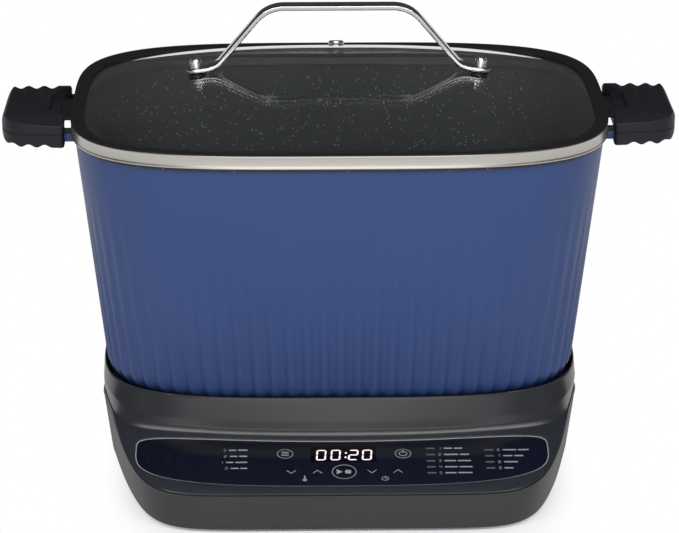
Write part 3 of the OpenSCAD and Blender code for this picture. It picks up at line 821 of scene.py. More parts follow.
def shape(name: str, form: Form, crease: float = CREASE) -> bpy.types.Object:
    """Turns a form into an object with smooth shading up to a crease angle.

    Args:
        name: Name of the piece.
        form: Form to use.
        crease: Angle in degrees above which an edge stays sharp.

    Returns:
        The new object.
    """
    mesh = form.mesh(name)
    mesh.polygons.foreach_set("use_smooth", [True] * len(mesh.polygons))
    mesh.set_sharp_from_angle(angle=math.radians(crease))
    piece = bpy.data.objects.new(name, mesh)
    bpy.context.scene.collection.objects.link(piece)
    return piece


def carve(piece: bpy.types.Object, tool: Form, crease: float = CUT_CREASE) -> None:
    """Cuts a form out of a piece and leaves the result in its mesh.

    Args:
        piece: Object that is cut.
        tool: Form that is taken away.
        crease: Angle in degrees above which an edge stays sharp.
    """
    cutter = bpy.data.objects.new("cutter", tool.mesh("cutter"))
    bpy.context.scene.collection.objects.link(cutter)
    cut = piece.modifiers.new("cut", "BOOLEAN")
    cut.operation, cut.solver, cut.object = "DIFFERENCE", "EXACT", cutter
    weigh = piece.modifiers.new("weigh", "WEIGHTED_NORMAL")
    weigh.keep_sharp, weigh.weight = True, 90
    bpy.context.view_layer.update()
    evaluated = piece.evaluated_get(bpy.context.evaluated_depsgraph_get())
    result = bpy.data.meshes.new_from_object(evaluated)
    piece.modifiers.clear()
    piece.data = result
    result.set_sharp_from_angle(angle=math.radians(crease))
    bpy.data.objects.remove(cutter)


@dataclass(frozen=True)
class Oval:
    """A rounded rectangular plan: square 2 is an ellipse, larger is squarer."""

    half_w: float
    half_d: float
    square: float = 3.8

    def at(self, angle: float, inset: float = 0.0) -> Flat:
        """Gives the point in one direction, moved inwards by an inset."""
        x, y = squared(angle, self.square)
        return ((self.half_w - inset) * x, (self.half_d - inset) * y)

    def steps(self, count: int) -> list[float]:
        """Gives directions that step evenly along the outline.

        Args:
            count: Number of directions.

        Returns:
            Angles in radians.
        """
        piece = 2 * math.pi / FINE_PIECES
        spots = [self.at(piece * i) for i in range(FINE_PIECES + 1)]
        lengths = [math.dist(a, b) for a, b in zip(spots, spots[1:])]
        return [piece * (i + share) for i, share in even_steps(lengths, count)]

    def ring(self, angles: Sequence[float], z: float, inset: float = 0.0) -> Ring:
        """Gives a level ring."""
        return [(*self.at(a, inset), z) for a in angles]


@dataclass
class Pot:
    """The fluted cast pot with its lining and the arms that hold the grips."""

    lip: Oval = Oval(161.0, 122.0)
    foot_z: float = 50.0
    lip_z: float = 209.0
    floor_z: float = 55.0
    boss_z: float = 66.0
    draft: float = 6.4
    wall: float = 3.0
    lip_round: float = 1.2
    lip_bevel: float = 0.8
    foot_h: float = 15.0
    foot_in: float = 11.0
    foot_ledge: float = 5.0
    foot_curve: float = 1.4
    inner_round: float = 12.0
    flutes: int = 88
    flute_depth: float = 2.5
    flute_start: float = 0.3
    flute_top: float = 182.0
    bore: float = 7.05
    boss_open: float = 10.3
    lining: float = 0.3
    lining_gap: float = 0.02
    lining_drop: float = 2.3
    lining_tuck: float = 0.18
    lining_top: float = 0.4
    arm_x: Flat = (157.6, 186.0)
    arm_y: float = 34.0
    arm_z: Flat = (200.0, 206.4)
    arm_half: float = 4.0
    arm_round: float = 1.8

    # Points to a flute and around the lining, and rings up the foot and up the flutes.
    FLUTE_POINTS, LINING_POINTS = 8, 352
    FOOT_RINGS, FLUTE_RINGS = 12, 24
    # Ring of the foot at which the flutes reach their depth, and how the rings crowd downwards.
    FLUTE_GROWN, FOOT_CROWD = 8, 1.3
    # Radii of rings under the floor and on it, and heights of plain rings outside and inside.
    UNDER_RADII, FLOOR_RADII = (20.0, 60.0), (60.0, 24.0)
    OUTER_LEVELS, INNER_LEVELS = (190.0, 198.0, 205.0), (190.0, 160.0, 130.0, 100.0)
    # Foot of the boss as radius and rise, and its top as radius, share of the skin and drop.
    BOSS_FOOT = ((18.5, 0.0), (15.6, 1.2), (15.0, 3.5))
    BOSS_TOP = ((14.6, 0.0, 0.5), (14.45, 1.0, 0.15), (14.1, 1.0, 0.0))

    def plan(self, z: float) -> Oval:
        """Gives the outside plan at a height."""
        lean = (self.lip_z - z) * math.tan(math.radians(self.draft))
        return Oval(self.lip.half_w - lean, self.lip.half_d - lean)

    def fluted(self, angles: Sequence[float], z: float, inset: float, depth: float) -> Ring:
        """Gives a ring of the outside with flutes of one depth.

        Args:
            angles: Directions, with the same number to each flute.
            z: Height of the ring.
            inset: Inset from the plan.
            depth: Depth of the flutes.

        Returns:
            The ring.
        """
        plan, ring = self.plan(z), []
        for k, a in enumerate(angles):
            x, y = plan.at(a, inset)
            wave = (1 - math.cos(2 * math.pi * k / self.FLUTE_POINTS)) / 2
            cut = 1 - depth * wave / math.hypot(x, y)
            ring.append((x * cut, y * cut, z))
        return ring

    def foot_rings(self, angles: Sequence[float]) -> list[Ring]:
        """Gives the rings of the rounded foot, up which the flutes grow.

        Args:
            angles: Directions.

        Returns:
            Rings from the bottom up.
        """
        rings, curve = [], self.foot_curve
        for k in range(self.FOOT_RINGS + 1):
            rise = (k / self.FOOT_RINGS) ** self.FOOT_CROWD
            inset = self.foot_in * (1 - (1 - (1 - rise) ** curve) ** (1 / curve))
            grown = self.flute_start + (1 - self.flute_start) * min(1.0, k / self.FLUTE_GROWN)
            z = self.foot_z + self.foot_h * rise
            rings.append(self.fluted(angles, z, inset, self.flute_depth * grown))
        return rings

    def flute_rings(self, angles: Sequence[float]) -> list[Ring]:
        """Gives the rings above the foot, up which the flutes fade.

        Args:
            angles: Directions.

        Returns:
            Rings from the bottom up.
        """
        rings, first = [], self.foot_z + self.foot_h
        for k in range(1, self.FLUTE_RINGS + 1):
            share = k / self.FLUTE_RINGS
            z = first + (self.flute_top - first) * share
            rings.append(self.fluted(angles, z, 0.0, self.flute_depth * (1 - share)))
        return rings

    def inside(self, angles: Sequence[float], skin: float) -> list[Ring]:
        """Gives the rings of the inside, from the lip to the opening of the boss.

        Args:
            angles: Directions.
            skin: Thickness laid on the inside.

        Returns:
            Rings from the top down.
        """
        r, inset, low = self.inner_round, self.wall + skin, self.floor_z + skin
        levels = (self.lip_z - self.lip_bevel, *self.INNER_LEVELS, low + 1.5 * r)
        rings = [self.plan(z).ring(angles, z, inset) for z in levels]
        for turn in quarter(8):
            z = low + r * (1 - math.sin(turn))
            rings.append(self.plan(z).ring(angles, z, inset + r * (1 - math.cos(turn))))
        rings += [circle(angles, radius, low) for radius in self.FLOOR_RADII]
        rings += [circle(angles, radius + skin, low + rise) for radius, rise in self.BOSS_FOOT]
        rings += [circle(angles, radius + skin, self.boss_z + share * skin - drop)
                  for radius, share, drop in self.BOSS_TOP]
        rings.append(circle(angles, self.boss_open, self.boss_z + skin))
        return rings

    def over_lip(self, angles: Sequence[float], skin: float) -> list[Ring]:
        """Gives the rings that wrap the lip, from the outside to the top.

        Args:
            angles: Directions.
            skin: Thickness laid on the lip.

        Returns:
            Rings from the outside inwards.
        """
        r, thin = self.lip_round, self.lining_top * skin
        rings = [self.lip.ring(angles, self.lip_z - self.lining_drop, self.lining_tuck - skin)]
        for turn in quarter(5):
            z = self.lip_z - r + (r + thin) * math.sin(turn)
            rings.append(self.lip.ring(angles, z, r - (r + skin) * math.cos(turn)))
        rings.append(self.lip.ring(angles, self.lip_z + thin, self.wall - self.lip_bevel))
        return rings

    def build_wall(self) -> None:
        """Makes the cast wall, fluted outside."""
        angles = self.lip.steps(self.flutes * self.FLUTE_POINTS)
        rings = [circle(angles, r, self.foot_z) for r in (self.bore, *self.UNDER_RADII)]
        ledge = self.foot_in + self.foot_ledge
        rings.append(self.plan(self.foot_z).ring(angles, self.foot_z, ledge))
        rings += self.foot_rings(angles) + self.flute_rings(angles)
        rings += [self.plan(z).ring(angles, z) for z in self.OUTER_LEVELS]
        rings += self.over_lip(angles, 0.0)[1:] + self.inside(angles, 0.0)
        rings.append(circle(angles, self.bore, self.boss_z))
        wall = shape("pot_wall", Form().skin(rings, True))
        dress(wall, COAT, Body.POT, "pot_blue", "pot_shell")

    def build_lining(self) -> None:
        """Makes the dark lining as a thin closed skin on the inside and over the lip."""
        angles = self.lip.steps(self.LINING_POINTS)
        under, over = (self.over_lip(angles, skin) + self.inside(angles, skin)
                       for skin in (self.lining_gap, self.lining))
        lining = shape("pot_lining", Form().skin(under + over[::-1], True))
        dress(lining, LINING, Body.POT, "pot_blue")

    def build_arms(self) -> None:
        """Makes the four cast arms that run into the grips."""
        arms = Form()
        for side in Side:
            x0, x1 = sorted(side.value * x for x in self.arm_x)
            for y in (-self.arm_y, self.arm_y):
                low = (x0, y - self.arm_half, self.arm_z[0])
                arms.block(low, (x1, y + self.arm_half, self.arm_z[1]), self.arm_round)
        dress(shape("pot_arms", arms), COAT, Body.POT, "pot_blue")

    def build(self) -> None:
        """Makes every piece of the pot."""
        self.build_wall()
        self.build_lining()
        self.build_arms()


@dataclass
class SideGrip:
    """A soft ribbed grip on one side of the pot."""

    side: Side
    inner_x: float = 166.5
    middle_z: float = 206.3
    length: float = 86.0
    width: float = 39.5
    up: float = 9.75
    down: float = 8.65
    edge: float = 0.8
    corner: float = 2.2
    straight: float = 10.0
    narrowing: float = 3.0
    end_square: float = 4.0
    tip_round: float = 8.0
    tip_curve: float = 2.5
    tip_least: float = 0.1
    plain: float = 7.0
    pitch: float = 9.7
    ridge: float = 1.8
    fade_y: Flat = (22.0, 42.0)
    fall: float = 5.0
    fall_y: float = 31.0
    fall_ridge_y: float = 20.0
    fall_blend: float = 0.3
    pocket_w: float = 11.4
    pocket_half: float = 33.0
    pocket_taper: float = 1.27
    pocket_edge: Flat = (1.5, 2.0)
    pocket_drop: float = 5.0
    pocket_tilt: float = 0.4
    tongue: tuple[Flat, Flat, Flat] = ((163.4, 171.0), (-20.5, 20.5), (208.45, 210.6))
    sleeve_x: Flat = (161.8, 168.5)
    sleeve_y: float = 37.4
    lip_half: float = 1.2
    lip_z: Flat = (205.7, 208.4)
    lip_round: float = 0.5
    cover_y: float = 29.8
    cover_z: Flat = (206.2, 206.75)
    cover_round: float = 0.15

    # Half of the inner edge in plan, from the thumb recess to the end, as reach and place.
    RECESS = ((3.2, 0.0), (3.2, 10.0), (3.2, 20.0), (3.2, 28.0), (2.9, 29.4), (2.0, 30.6),
              (0.8, 31.4), (0.2, 32.4), (0.0, 34.0), (0.0, 38.0))
    # Parting groove between the halves, as inset and height.
    GROOVE = ((0.0, -1.2), (0.4, -0.9), (0.4, -0.4), (0.0, -0.1))
    # Middle of the faces in plan, the share at which their rings start, and points and rings.
    HUB, HUB_SHARE = (18.0, 0.0), 0.02
    PLAN_POINTS, FACE_RINGS = 280, 44
    CREASE = 50.0

    def end(self, u: float) -> float:
        """Gives half the length of the grip at a reach from its inner edge.

        Args:
            u: Reach from the inner edge.

        Returns:
            Half the length.
        """
        tip = max(0.0, (u - self.straight) / (self.width - self.straight))
        half = self.length / 2 - self.narrowing * u / self.width
        return half * max(0.0, 1 - tip ** self.end_square) ** (1 / self.end_square)

    def outline(self) -> list[Flat]:
        """Gives the plan of the grip from above.

        Returns:
            Points in even steps.
        """
        r, end = self.corner, self.end(0)
        half = list(self.RECESS)
        half += [(r * (1 - math.cos(t)), end - r * (1 - math.sin(t))) for t in quarter(6)]
        reaches = [r + (self.width - r) * math.sin(t) for t in quarter(40)[1:]]
        half += [(u, self.end(u)) for u in reaches]
        loop = [(u, -y) for u, y in half] + half[-2:0:-1]
        pairs = list(zip(loop, loop[1:] + loop[:1]))
        lengths = [math.dist(a, b) for a, b in pairs]
        return [partway(*pairs[i], share) for i, share in even_steps(lengths, self.PLAN_POINTS)]

    def ripple(self, u: float) -> float:
        """Gives the depth of the finger grooves at a reach."""
        turn = 2 * math.pi * max(0.0, u - self.plain) / self.pitch
        return self.ridge * (1 - math.cos(turn)) / 2

    def crown(self, u: float) -> float:
        """Gives the share of the thickness that is left near the rounded outer end."""
        tip = min(1.0, max(0.0, (u - self.width) / self.tip_round + 1))
        return max(self.tip_least, 1 - tip ** self.tip_curve) ** (1 / self.tip_curve)

    def top(self, u: float, y: float) -> float:
        """Gives the height of the upper face above the middle of the grip.

        Args:
            u: Reach from the inner edge.
            y: Place along the grip.

        Returns:
            The height.
        """
        groove = self.ripple(u) * (1 - ease(*self.fade_y, -y))
        level = (self.up - groove) * self.crown(u)
        drop = self.fall * (abs(y) - self.fall_y) / (self.length / 2 - self.fall_y)
        slant = self.up - drop - groove * ease(self.fall_ridge_y, self.fall_y, y)
        sharp = sum(math.exp(-face / self.fall_blend) for face in (level, slant))
        height = -self.fall_blend * math.log(sharp)
        across, along = self.pocket_edge
        pocket = ease(0, across, self.pocket_w - u)
        pocket *= ease(0, along, self.pocket_half - self.pocket_taper * u - abs(y))
        floor = self.up - self.pocket_drop - self.pocket_tilt * (1 - u / self.pocket_w)
        return height - pocket * max(0.0, height - floor)

    def under(self, u: float) -> float:
        """Gives the depth of the lower face below the middle of the grip."""
        return (self.down - self.ripple(u)) * self.crown(u)

    def corners(self, reach: Flat, along: Flat, levels: Flat) -> tuple[Point, Point]:
        """Gives two opposite corners of a block from its reach, place and heights."""
        x0, x1 = sorted(self.side.value * x for x in reach)
        return (x0, along[0], levels[0]), (x1, along[1], levels[1])

    def rings(self) -> list[Ring]:
        """Gives the rings of the grip, from the middle of its lower face to that of its upper face.

        Returns:
            Rings in order.
        """
        plan, rings = self.outline(), []

        def add(share: float, inset: float, height: Callable[[float, float], float]) -> None:
            """Adds one ring.

            Args:
                share: Share of the plan.
                inset: Distance inside the plan.
                height: Height at a reach and place.
            """
            ring = []
            for spot in shrink(plan, inset):
                u, y = partway(self.HUB, spot, share)
                ring.append((self.side.value * (self.inner_x + u), y, self.middle_z + height(u, y)))
            rings.append(ring)

        shares = [self.HUB_SHARE] + [k / self.FACE_RINGS for k in range(1, self.FACE_RINGS)]
        curve = [(self.edge * (1 - math.sin(t)), self.edge * (1 - math.cos(t))) for t in quarter(4)]
        for share in shares:
            add(share, 0.0, lambda u, y: -self.under(u))
        for inset, rise in curve:
            add(1.0, inset, lambda u, y, rise=rise: rise - self.under(u))
        for inset, rise in self.GROOVE:
            add(1.0, inset, lambda u, y, rise=rise: rise * self.crown(u))
        for drop, inset in curve:
            add(1.0, inset, lambda u, y, drop=drop: self.top(u, y) - drop)
        for share in shares[::-1]:
            add(share, 0.0, self.top)
        return rings

    def build(self) -> None:
        """Makes the grip with its ridges, thumb pocket, parting groove, tongue and lips."""
        form = Form().skin(self.rings())
        form.block(*self.corners(*self.tongue), self.lip_round)
        for y in (-self.sleeve_y, self.sleeve_y):
            lip = (y - self.lip_half, y + self.lip_half)
            form.block(*self.corners(self.sleeve_x, lip, self.lip_z), self.lip_round)
            cover = sorted((math.copysign(self.cover_y, y), y))
            form.block(*self.corners(self.sleeve_x, cover, self.cover_z), self.cover_round)
        node = "grip_right" if self.side is Side.RIGHT else "grip_left"
        grip = shape(f"{node}_soft", form, self.CREASE)
        dress(grip, SILICONE, Body.POT, "grip_silicone", node)


@dataclass
class Lid:
    """The domed glass lid with its steel rim, seal, bent handle, posts and vent."""

    rim: Oval = Oval(163.0, 124.0)
    glass: Oval = Oval(155.3, 116.3)
    rim_z: float = 209.3
    rim_top: float = 217.8
    drip: float = 0.7
    sheet: float = 1.0
    skirt_in: float = 5.96
    skirt_h: float = 4.5
    seal_gap: float = 0.15
    seal_in: float = 8.0
    seal_groove: float = 3.2
    seal_foot: float = 6.4
    glass_edge: float = 215.7
    glass_t: float = 4.0
    glass_held: float = 4.2
    glass_round: float = 0.8
    dome: float = 22.0
    dome_curve: float = 2.2
    post_x: float = 86.5
    vent_y: float = 90.0
    strip_w: float = 11.0
    strip_t: float = 3.0
    strip_round: float = 0.75
    strip_blunt: float = 0.35
    handle_top: float = 275.7
    handle_half: float = 43.5
    foot_out: float = 6.5
    foot_in: float = 11.5
    foot_bend: float = 14.0
    top_bend: float = 22.0
    washer: float = 1.2
    gap: float = 0.1

    # Section of the rim, as inset and rise above its lower edge, then as inset and drop.
    RIM_LOW = ((1.2, 0.0), (0.55, 0.0), (0.2, 0.15), (0.0, 0.55), (0.0, 1.0), (0.22, 1.4),
               (0.3, 2.0))
    RIM_HIGH = ((0.3, 2.8), (0.22, 2.3), (0.0, 1.9), (0.0, 1.3), (0.15, 0.98), (0.5, 0.85),
                (2.4, 0.85), (2.6, 1.05), (2.6, 1.65))
    # Section of the seal's top as inset and drop below the rim's top.
    SEAL_HIGH = ((2.75, 1.8), (2.75, 0.8), (0.5, 0.8), (0.2, 0.66), (0.08, 0.4), (0.2, 0.14),
                 (0.6, 0.0), (3.0, 0.0), (5.0, 0.2), (6.6, 0.5), (7.5, 0.85), (7.95, 1.25))
    # Cap nut, washer and vent above and below the glass, as radius and height.
    CAP_NUT = ((2.4, 0.0), (3.3, 0.0), (3.6, 0.3), (3.6, 4.2), (3.45, 4.7), (3.05, 5.0),
               (2.9, 5.15), (2.75, 5.6), (2.2, 5.8), (0.6, 5.8), (0.6, 3.6), (2.4, 3.6))
    WASHER = ((2.6, 0.1), (5.0, 0.1), (5.4, 0.4), (5.4, 0.9), (5.0, 1.2), (2.6, 1.2))
    VENT_OVER = ((3.8, 0.25), (4.8, 0.25), (5.0, 0.5), (5.0, 1.7), (4.7, 2.5), (4.0, 2.95),
                 (2.4, 3.0), (1.8, 2.5))
    VENT_UNDER = ((1.8, -1.6), (5.0, -1.6), (5.4, -1.3), (5.4, -0.3), (3.8, -0.3))
    # Points around the rim and the glass, rings of the dome and the share at which they start.
    RIM_POINTS, GLASS_POINTS = 288, 224
    DOME_RINGS, DOME_START = 30, 0.015
    # Steps around a bend of the handle, and distances of the rings near its ends.
    BEND_STEPS = 14
    END_RINGS = (0.0, 0.7, 1.8, 3.2, 5.0)
    RIM_CREASE, STRIP_CREASE, GLASS_CREASE = 42.0, 40.0, 60.0

    def top(self, share: float) -> float:
        """Gives the height of the glass at a share of its plan."""
        return self.glass_edge + self.dome * (1 - share ** self.dome_curve)

    def slope(self, share: float, span: float) -> float:
        """Gives the slope of the glass in radians at a share of a half span."""
        return math.atan(self.dome_curve * self.dome * share ** (self.dome_curve - 1) / span)

    def on_post(self, side: Side) -> Matrix:
        """Gives the place and tilt of a post.

        Args:
            side: Side of the lid.

        Returns:
            The matrix that puts a turned form on the glass.
        """
        share = self.post_x / self.glass.half_w
        spot = Vector((side.value * self.post_x, 0, self.top(share)))
        lean = side.value * self.slope(share, self.glass.half_w)
        return Matrix.Translation(spot) @ Matrix.Rotation(lean, 4, "Y")

    def profile(self, steps: Sequence[Flat]) -> Form:
        """Sweeps a closed profile of inset and height around the rim."""
        angles = self.rim.steps(self.RIM_POINTS)
        return Form().skin([self.rim.ring(angles, z, inset) for inset, z in steps], True)

    def build_glass(self) -> None:
        """Makes the dome of glass with a rounded hidden edge."""
        angles = self.rim.steps(self.GLASS_POINTS)
        shares = [self.DOME_START] + [k / self.DOME_RINGS for k in range(1, self.DOME_RINGS + 1)]

        def bowl(share: float, drop: float) -> Ring:
            """Gives one ring of the dome, rounder towards the middle.

            Args:
                share: Share of the plan.
                drop: Distance below the upper face.

            Returns:
                The ring.
            """
            square = 2 + (self.glass.square - 2) * share * share
            plan = Oval(self.glass.half_w * share, self.glass.half_d * share, square)
            return plan.ring(angles, self.top(share) - drop)

        edge = Oval(self.glass.half_w + self.glass_held, self.glass.half_d + self.glass_held)
        r, high, low = self.glass_round, self.glass_edge, self.glass_edge - self.glass_t
        rings = [bowl(share, self.glass_t) for share in shares]
        rings += [edge.ring(angles, low, r), edge.ring(angles, low + r)]
        rings += [edge.ring(angles, high - r), edge.ring(angles, high, r)]
        rings += [bowl(share, 0.0) for share in shares[::-1]]
        glass = shape("lid_glass_dome", Form().skin(rings), self.GLASS_CREASE)
        dress(glass, GLASS, Body.LID, "lid_glass", "lid_glass")

    def build_rim(self) -> None:
        """Makes the rolled steel band with a bead along each edge, and its skirt."""
        z, t, skirt = self.rim_z, self.sheet, self.skirt_in
        steps = [(self.RIM_LOW[0][0], z)]
        steps += [(inset, z - self.drip + rise) for inset, rise in self.RIM_LOW]
        steps += [(inset, self.rim_top - drop) for inset, drop in self.RIM_HIGH]
        steps += [(t, self.rim_top - self.RIM_HIGH[-1][1]), (t, z + t), (skirt + t, z + t)]
        steps += [(skirt + t, z - self.skirt_h), (skirt, z - self.skirt_h), (skirt, z)]
        rim = shape("lid_steel_rim", self.profile(steps), self.RIM_CREASE)
        dress(rim, RIM_STEEL, Body.LID, "rim_steel", "lid_rim")

    def build_seal(self) -> None:
        """Makes the black seal that holds the glass in the rim."""
        t, gap = self.sheet + self.seal_gap, self.seal_gap
        foot, high = self.rim_z + t, self.glass_edge + gap
        low = self.glass_edge - self.glass_t - gap
        steps = [(t, foot), (t, self.rim_top - self.SEAL_HIGH[0][1])]
        steps += [(inset, self.rim_top - drop) for inset, drop in self.SEAL_HIGH]
        steps += [(self.seal_in, high), (self.seal_groove, high), (self.seal_groove, low)]
        steps += [(self.seal_foot, low), (self.seal_foot, foot)]
        seal = shape("lid_seal_ring", self.profile(steps), self.RIM_CREASE)
        dress(seal, SEAL, Body.LID, "seal_silicone", "lid_seal")

    def handle_path(self) -> list[Flat]:
        """Gives the middle line of the handle strip with its bends rounded.

        Returns:
            Points in X and Z from right to left.
        """
        share = self.post_x / self.glass.half_w
        lean = self.slope(share, self.glass.half_w)
        rise = self.washer + self.gap + self.strip_t / 2
        out = Vector((math.cos(lean), -math.sin(lean)))
        up = Vector((math.sin(lean), math.cos(lean)))
        foot = Vector((self.post_x, self.top(share))) + rise * up
        crest = Vector((self.handle_half, self.handle_top - self.strip_t / 2))
        right = [foot + self.foot_out * out, foot - self.foot_in * out, crest]
        corners = right + [Vector((-p.x, p.y)) for p in right[::-1]]
        radii = (self.foot_bend, self.top_bend, self.top_bend, self.foot_bend)
        path = [corners[0]]
        for before, spot, after, radius in zip(corners, corners[1:], corners[2:], radii):
            a, b = (before - spot).normalized(), (after - spot).normalized()
            half = a.angle(b) / 2
            hub = spot + (a + b).normalized() * radius / math.sin(half)
            reach = radius / math.tan(half)
            start, stop = spot + a * reach - hub, spot + b * reach - hub
            sweep = start.angle_signed(stop)
            for k in range(self.BEND_STEPS + 1):
                c, s = (f(-sweep * k / self.BEND_STEPS) for f in (math.cos, math.sin))
                path.append(hub + Vector((start.x * c - start.y * s, start.x * s + start.y * c)))
        path.append(corners[-1])
        return [(p.x, p.y) for p in path]

    def build_handle(self) -> None:
        """Makes the bent flat handle with eased edges and rounded ends."""
        path = self.handle_path()
        first, last = Vector(path[0]), Vector(path[-1])
        inward = (Vector(path[1]) - first).normalized()
        back = (Vector(path[-2]) - last).normalized()
        line = [tuple(first + inward * e) for e in self.END_RINGS] + path[1:-1]
        line += [tuple(last + back * e) for e in self.END_RINGS[::-1]]
        half, rings = self.strip_w / 2, []
        section = round_box(half, self.strip_t / 2, self.strip_round)
        for i, (x, z) in enumerate(line):
            ahead = Vector(line[min(i + 1, len(line) - 1)]) - Vector(line[max(i - 1, 0)])
            ahead.normalize()
            reach = min(math.dist(line[0], (x, z)), math.dist(line[-1], (x, z)))
            short = max(0.0, half - reach - self.strip_blunt) / half
            squeeze = math.sqrt(max(0.0, 1 - short ** 2))
            rings.append([(x - ahead.y * n, y * squeeze, z + ahead.x * n) for y, n in section])
        strip = shape("lid_handle_strip", Form().skin(rings), self.STRIP_CREASE)
        dress(strip, BAR_STEEL, Body.LID, "handle_steel", "lid_handle")

    def build_posts(self) -> None:
        """Makes the cap nuts on the handle's feet, and the washers above and below the glass."""
        seat = self.washer + 2 * self.gap + self.strip_t
        below = -self.glass_t - self.washer - 3 * self.gap
        nuts, pads = Form(), Form()
        for side in Side:
            cap = [(radius, seat + rise) for radius, rise in self.CAP_NUT]
            nuts.join(Form().lathe(cap, looped=True).moved(self.on_post(side)))
            for shift in (0.0, below):
                pad = [(radius, rise + shift) for radius, rise in self.WASHER]
                pads.join(Form().lathe(pad, looped=True).moved(self.on_post(side)))
        dress(shape("lid_cap_nuts", nuts), NUT_STEEL, Body.LID, "post_steel", "handle_posts")
        dress(shape("lid_washers", pads), SEAL, Body.LID, "seal_silicone", "handle_washers")

    def build_vent(self) -> None:
        """Makes the steel eyelet of the steam vent."""
        share = self.vent_y / self.glass.half_d
        steps = [(radius, rise - self.glass_t) for radius, rise in self.VENT_UNDER]
        steps += self.VENT_OVER
        spot = Matrix.Translation((0, self.vent_y, self.top(share)))
        tilt = Matrix.Rotation(-self.slope(share, self.glass.half_d), 4, "X")
        vent = shape("lid_vent", Form().lathe(steps, looped=True).moved(spot @ tilt))
        dress(vent, NUT_STEEL, Body.LID, "post_steel", "vent_eyelet")

    def build(self) -> None:
        """Makes every piece of the lid."""
        self.build_glass()
        self.build_rim()
        self.build_seal()
        self.build_handle()
        self.build_posts()
        self.build_vent()


@dataclass
class Base:
    """The heated base: a lower tray, and an upper cover with its shelf, collar and well."""

    half_w: float = 147.49
    front: float = 170.0
    back: float = 117.0
    front_square: float = 9.5
    back_square: float = 4.5
    taper: float = 0.19
    taper_y: float = 45.0
    taper_curve: float = 1.1
    lean: float = 4.2
    tuck: float = 1.0
    tuck_y: Flat = (50.0, 110.0)
    tuck_h: float = 9.0
    fore_y: Flat = (88.0, 128.0)
    shelf_front_z: float = 25.3
    tilt: float = 12.0
    side_z: float = 43.0
    bottom_z: float = 1.0
    floor_z: float = 3.8
    collar_z: float = 60.0
    well_z: float = 46.0
    well_t: float = 3.0
    plate_r: float = 86.0
    collar: Oval = Oval(146.39, 107.39)
    well: Oval = Oval(145.19, 106.19)
    foot: Oval = Oval(146.69, 112.39)
    root_y: Flat = (80.0, 109.0)
    root_gap: float = 0.1
    heel_d: float = 111.4
    heel_h: float = 17.0
    heel_square: float = 16.0
    heel_bow: float = 0.088
    heel_over: float = 0.2
    lip_w: float = 4.6
    lip_in: float = 0.7
    panel_y0: float = -162.5
    panel_w: float = 123.0
    panel_d: float = 46.0
    panel_end: float = 0.8
    screw_x: float = 112.0
    slot_pitch: float = 9.0
    slot_half: float = 2.0
    slot_y: Flat = (-70.0, -36.0)
    slot_round: float = 1.9
    slots: int = 4
    inlet_half: float = 14.0
    inlet_y: Flat = (-12.0, 8.0)
    inlet_z: Flat = (9.0, 30.0)
    inlet_round: float = 1.0
    cut_z: Flat = (-1.0, 7.0)

    # Points around the outline, its squareness for even steps, and rings across the shelf.
    POINTS, STEP_SQUARE, SHELF_RINGS = 416, 5.0, 8
    # Share by which the cover's outer rings fan out to the front corners.
    FAN = 0.6
    # Tray: its rounded foot as inset, rise and share of the lean, its upper edge as inset and drop
    # below the joint, and its inside as inset, rise above the floor and share of the lean.
    TRAY_FOOT = ((5.0, 0.0, 1.0), (3.4, 0.0, 1.0), (2.5, 0.2, 1.0), (1.9, 0.8, 0.99),
                 (1.5, 1.8, 0.96), (1.1, 3.2, 0.92))
    TRAY_EDGE = ((0.3, 3.2), (0.05, 2.7), (0.0, 2.45), (0.1, 2.2), (0.35, 2.08), (2.0, 2.05),
                 (2.2, 1.6), (2.6, 1.6))
    TRAY_INSIDE = ((4.0, 2.0, 0.9), (6.6, 0.0, 1.0))
    # Places of the screws and the feet, and their wells as radius and rise above the bottom.
    SCREWS_Y = (-62.0, 50.0)
    FEET = ((97.97, -128.0), (104.0, 72.0))
    SCREW_WELL = ((0.01, -1.0), (4.2, -1.0), (4.2, 1.5), (1.8, 1.5), (1.8, 7.0), (0.01, 7.0))
    FOOT_WELL = ((9.3, -1.0), (9.3, 1.2))
    SCREW_POINTS, FOOT_POINTS = 32, 48
    # Cover: its outer edge and hidden inner edge as inset and drop below the joint, and its
    # rounded lip as inset, further inset at the front and drop.
    COVER_EDGE = ((0.12, 1.35), (0.0, 1.15))
    COVER_BACK = ((3.8, 3.8), (2.9, 1.35))
    LIP = ((0.1, 0.25, 0.75), (0.22, 0.7, 0.42), (0.38, 1.6, 0.2), (0.54, 3.0, 0.06))
    # Fillet at the collar's root as inset and rise above the shelf, from the shelf upwards.
    FILLET = ((-3.3, 0.03), (-2.9, 0.02), (-2.5, 0.09), (-2.13, 0.2), (-1.78, 0.35), (-1.46, 0.55),
              (-1.0, 0.88), (-0.57, 1.25), (-0.16, 1.64), (0.22, 2.06), (0.44, 2.34), (0.63, 2.66),
              (0.78, 3.0), (0.88, 3.37), (1.19, 4.8), (1.59, 6.6), (1.99, 8.4))
    # Collar's edge and well's edge as inset and drop, and the well's foot as inset and rise.
    COLLAR_EDGE = ((0.0, 1.5), (0.1, 0.9), (0.35, 0.3), (0.7, 0.0))
    WELL_EDGE = ((-0.25, 0.0), (0.0, 0.4))
    WELL_FOOT = ((1.0, 4.0), (1.5, 2.2), (2.6, 0.6), (4.4, 0.0))
    # Inset under the well, and inset and rise of the hidden ring under the collar.
    WELL_UNDER, ROOT_UNDER, ROOT_UNDER_RISE = 6.0, 5.0, -3.6
    # Panel's outline: steps, squareness of its front and rear, and how its rear bows.
    PANEL_STEPS, PANEL_SQUARES, PANEL_BOW = 60, (3.1, 5.5), 0.175
    # Pocket for the panel as growth of its outline and height, and crease angle of the cut cover.
    POCKET = ((0.3, -2.2), (0.3, -0.75), (0.36, -0.4), (0.55, -0.15), (0.8, 0.1), (0.8, 3.0))
    COVER_CREASE = 24.0

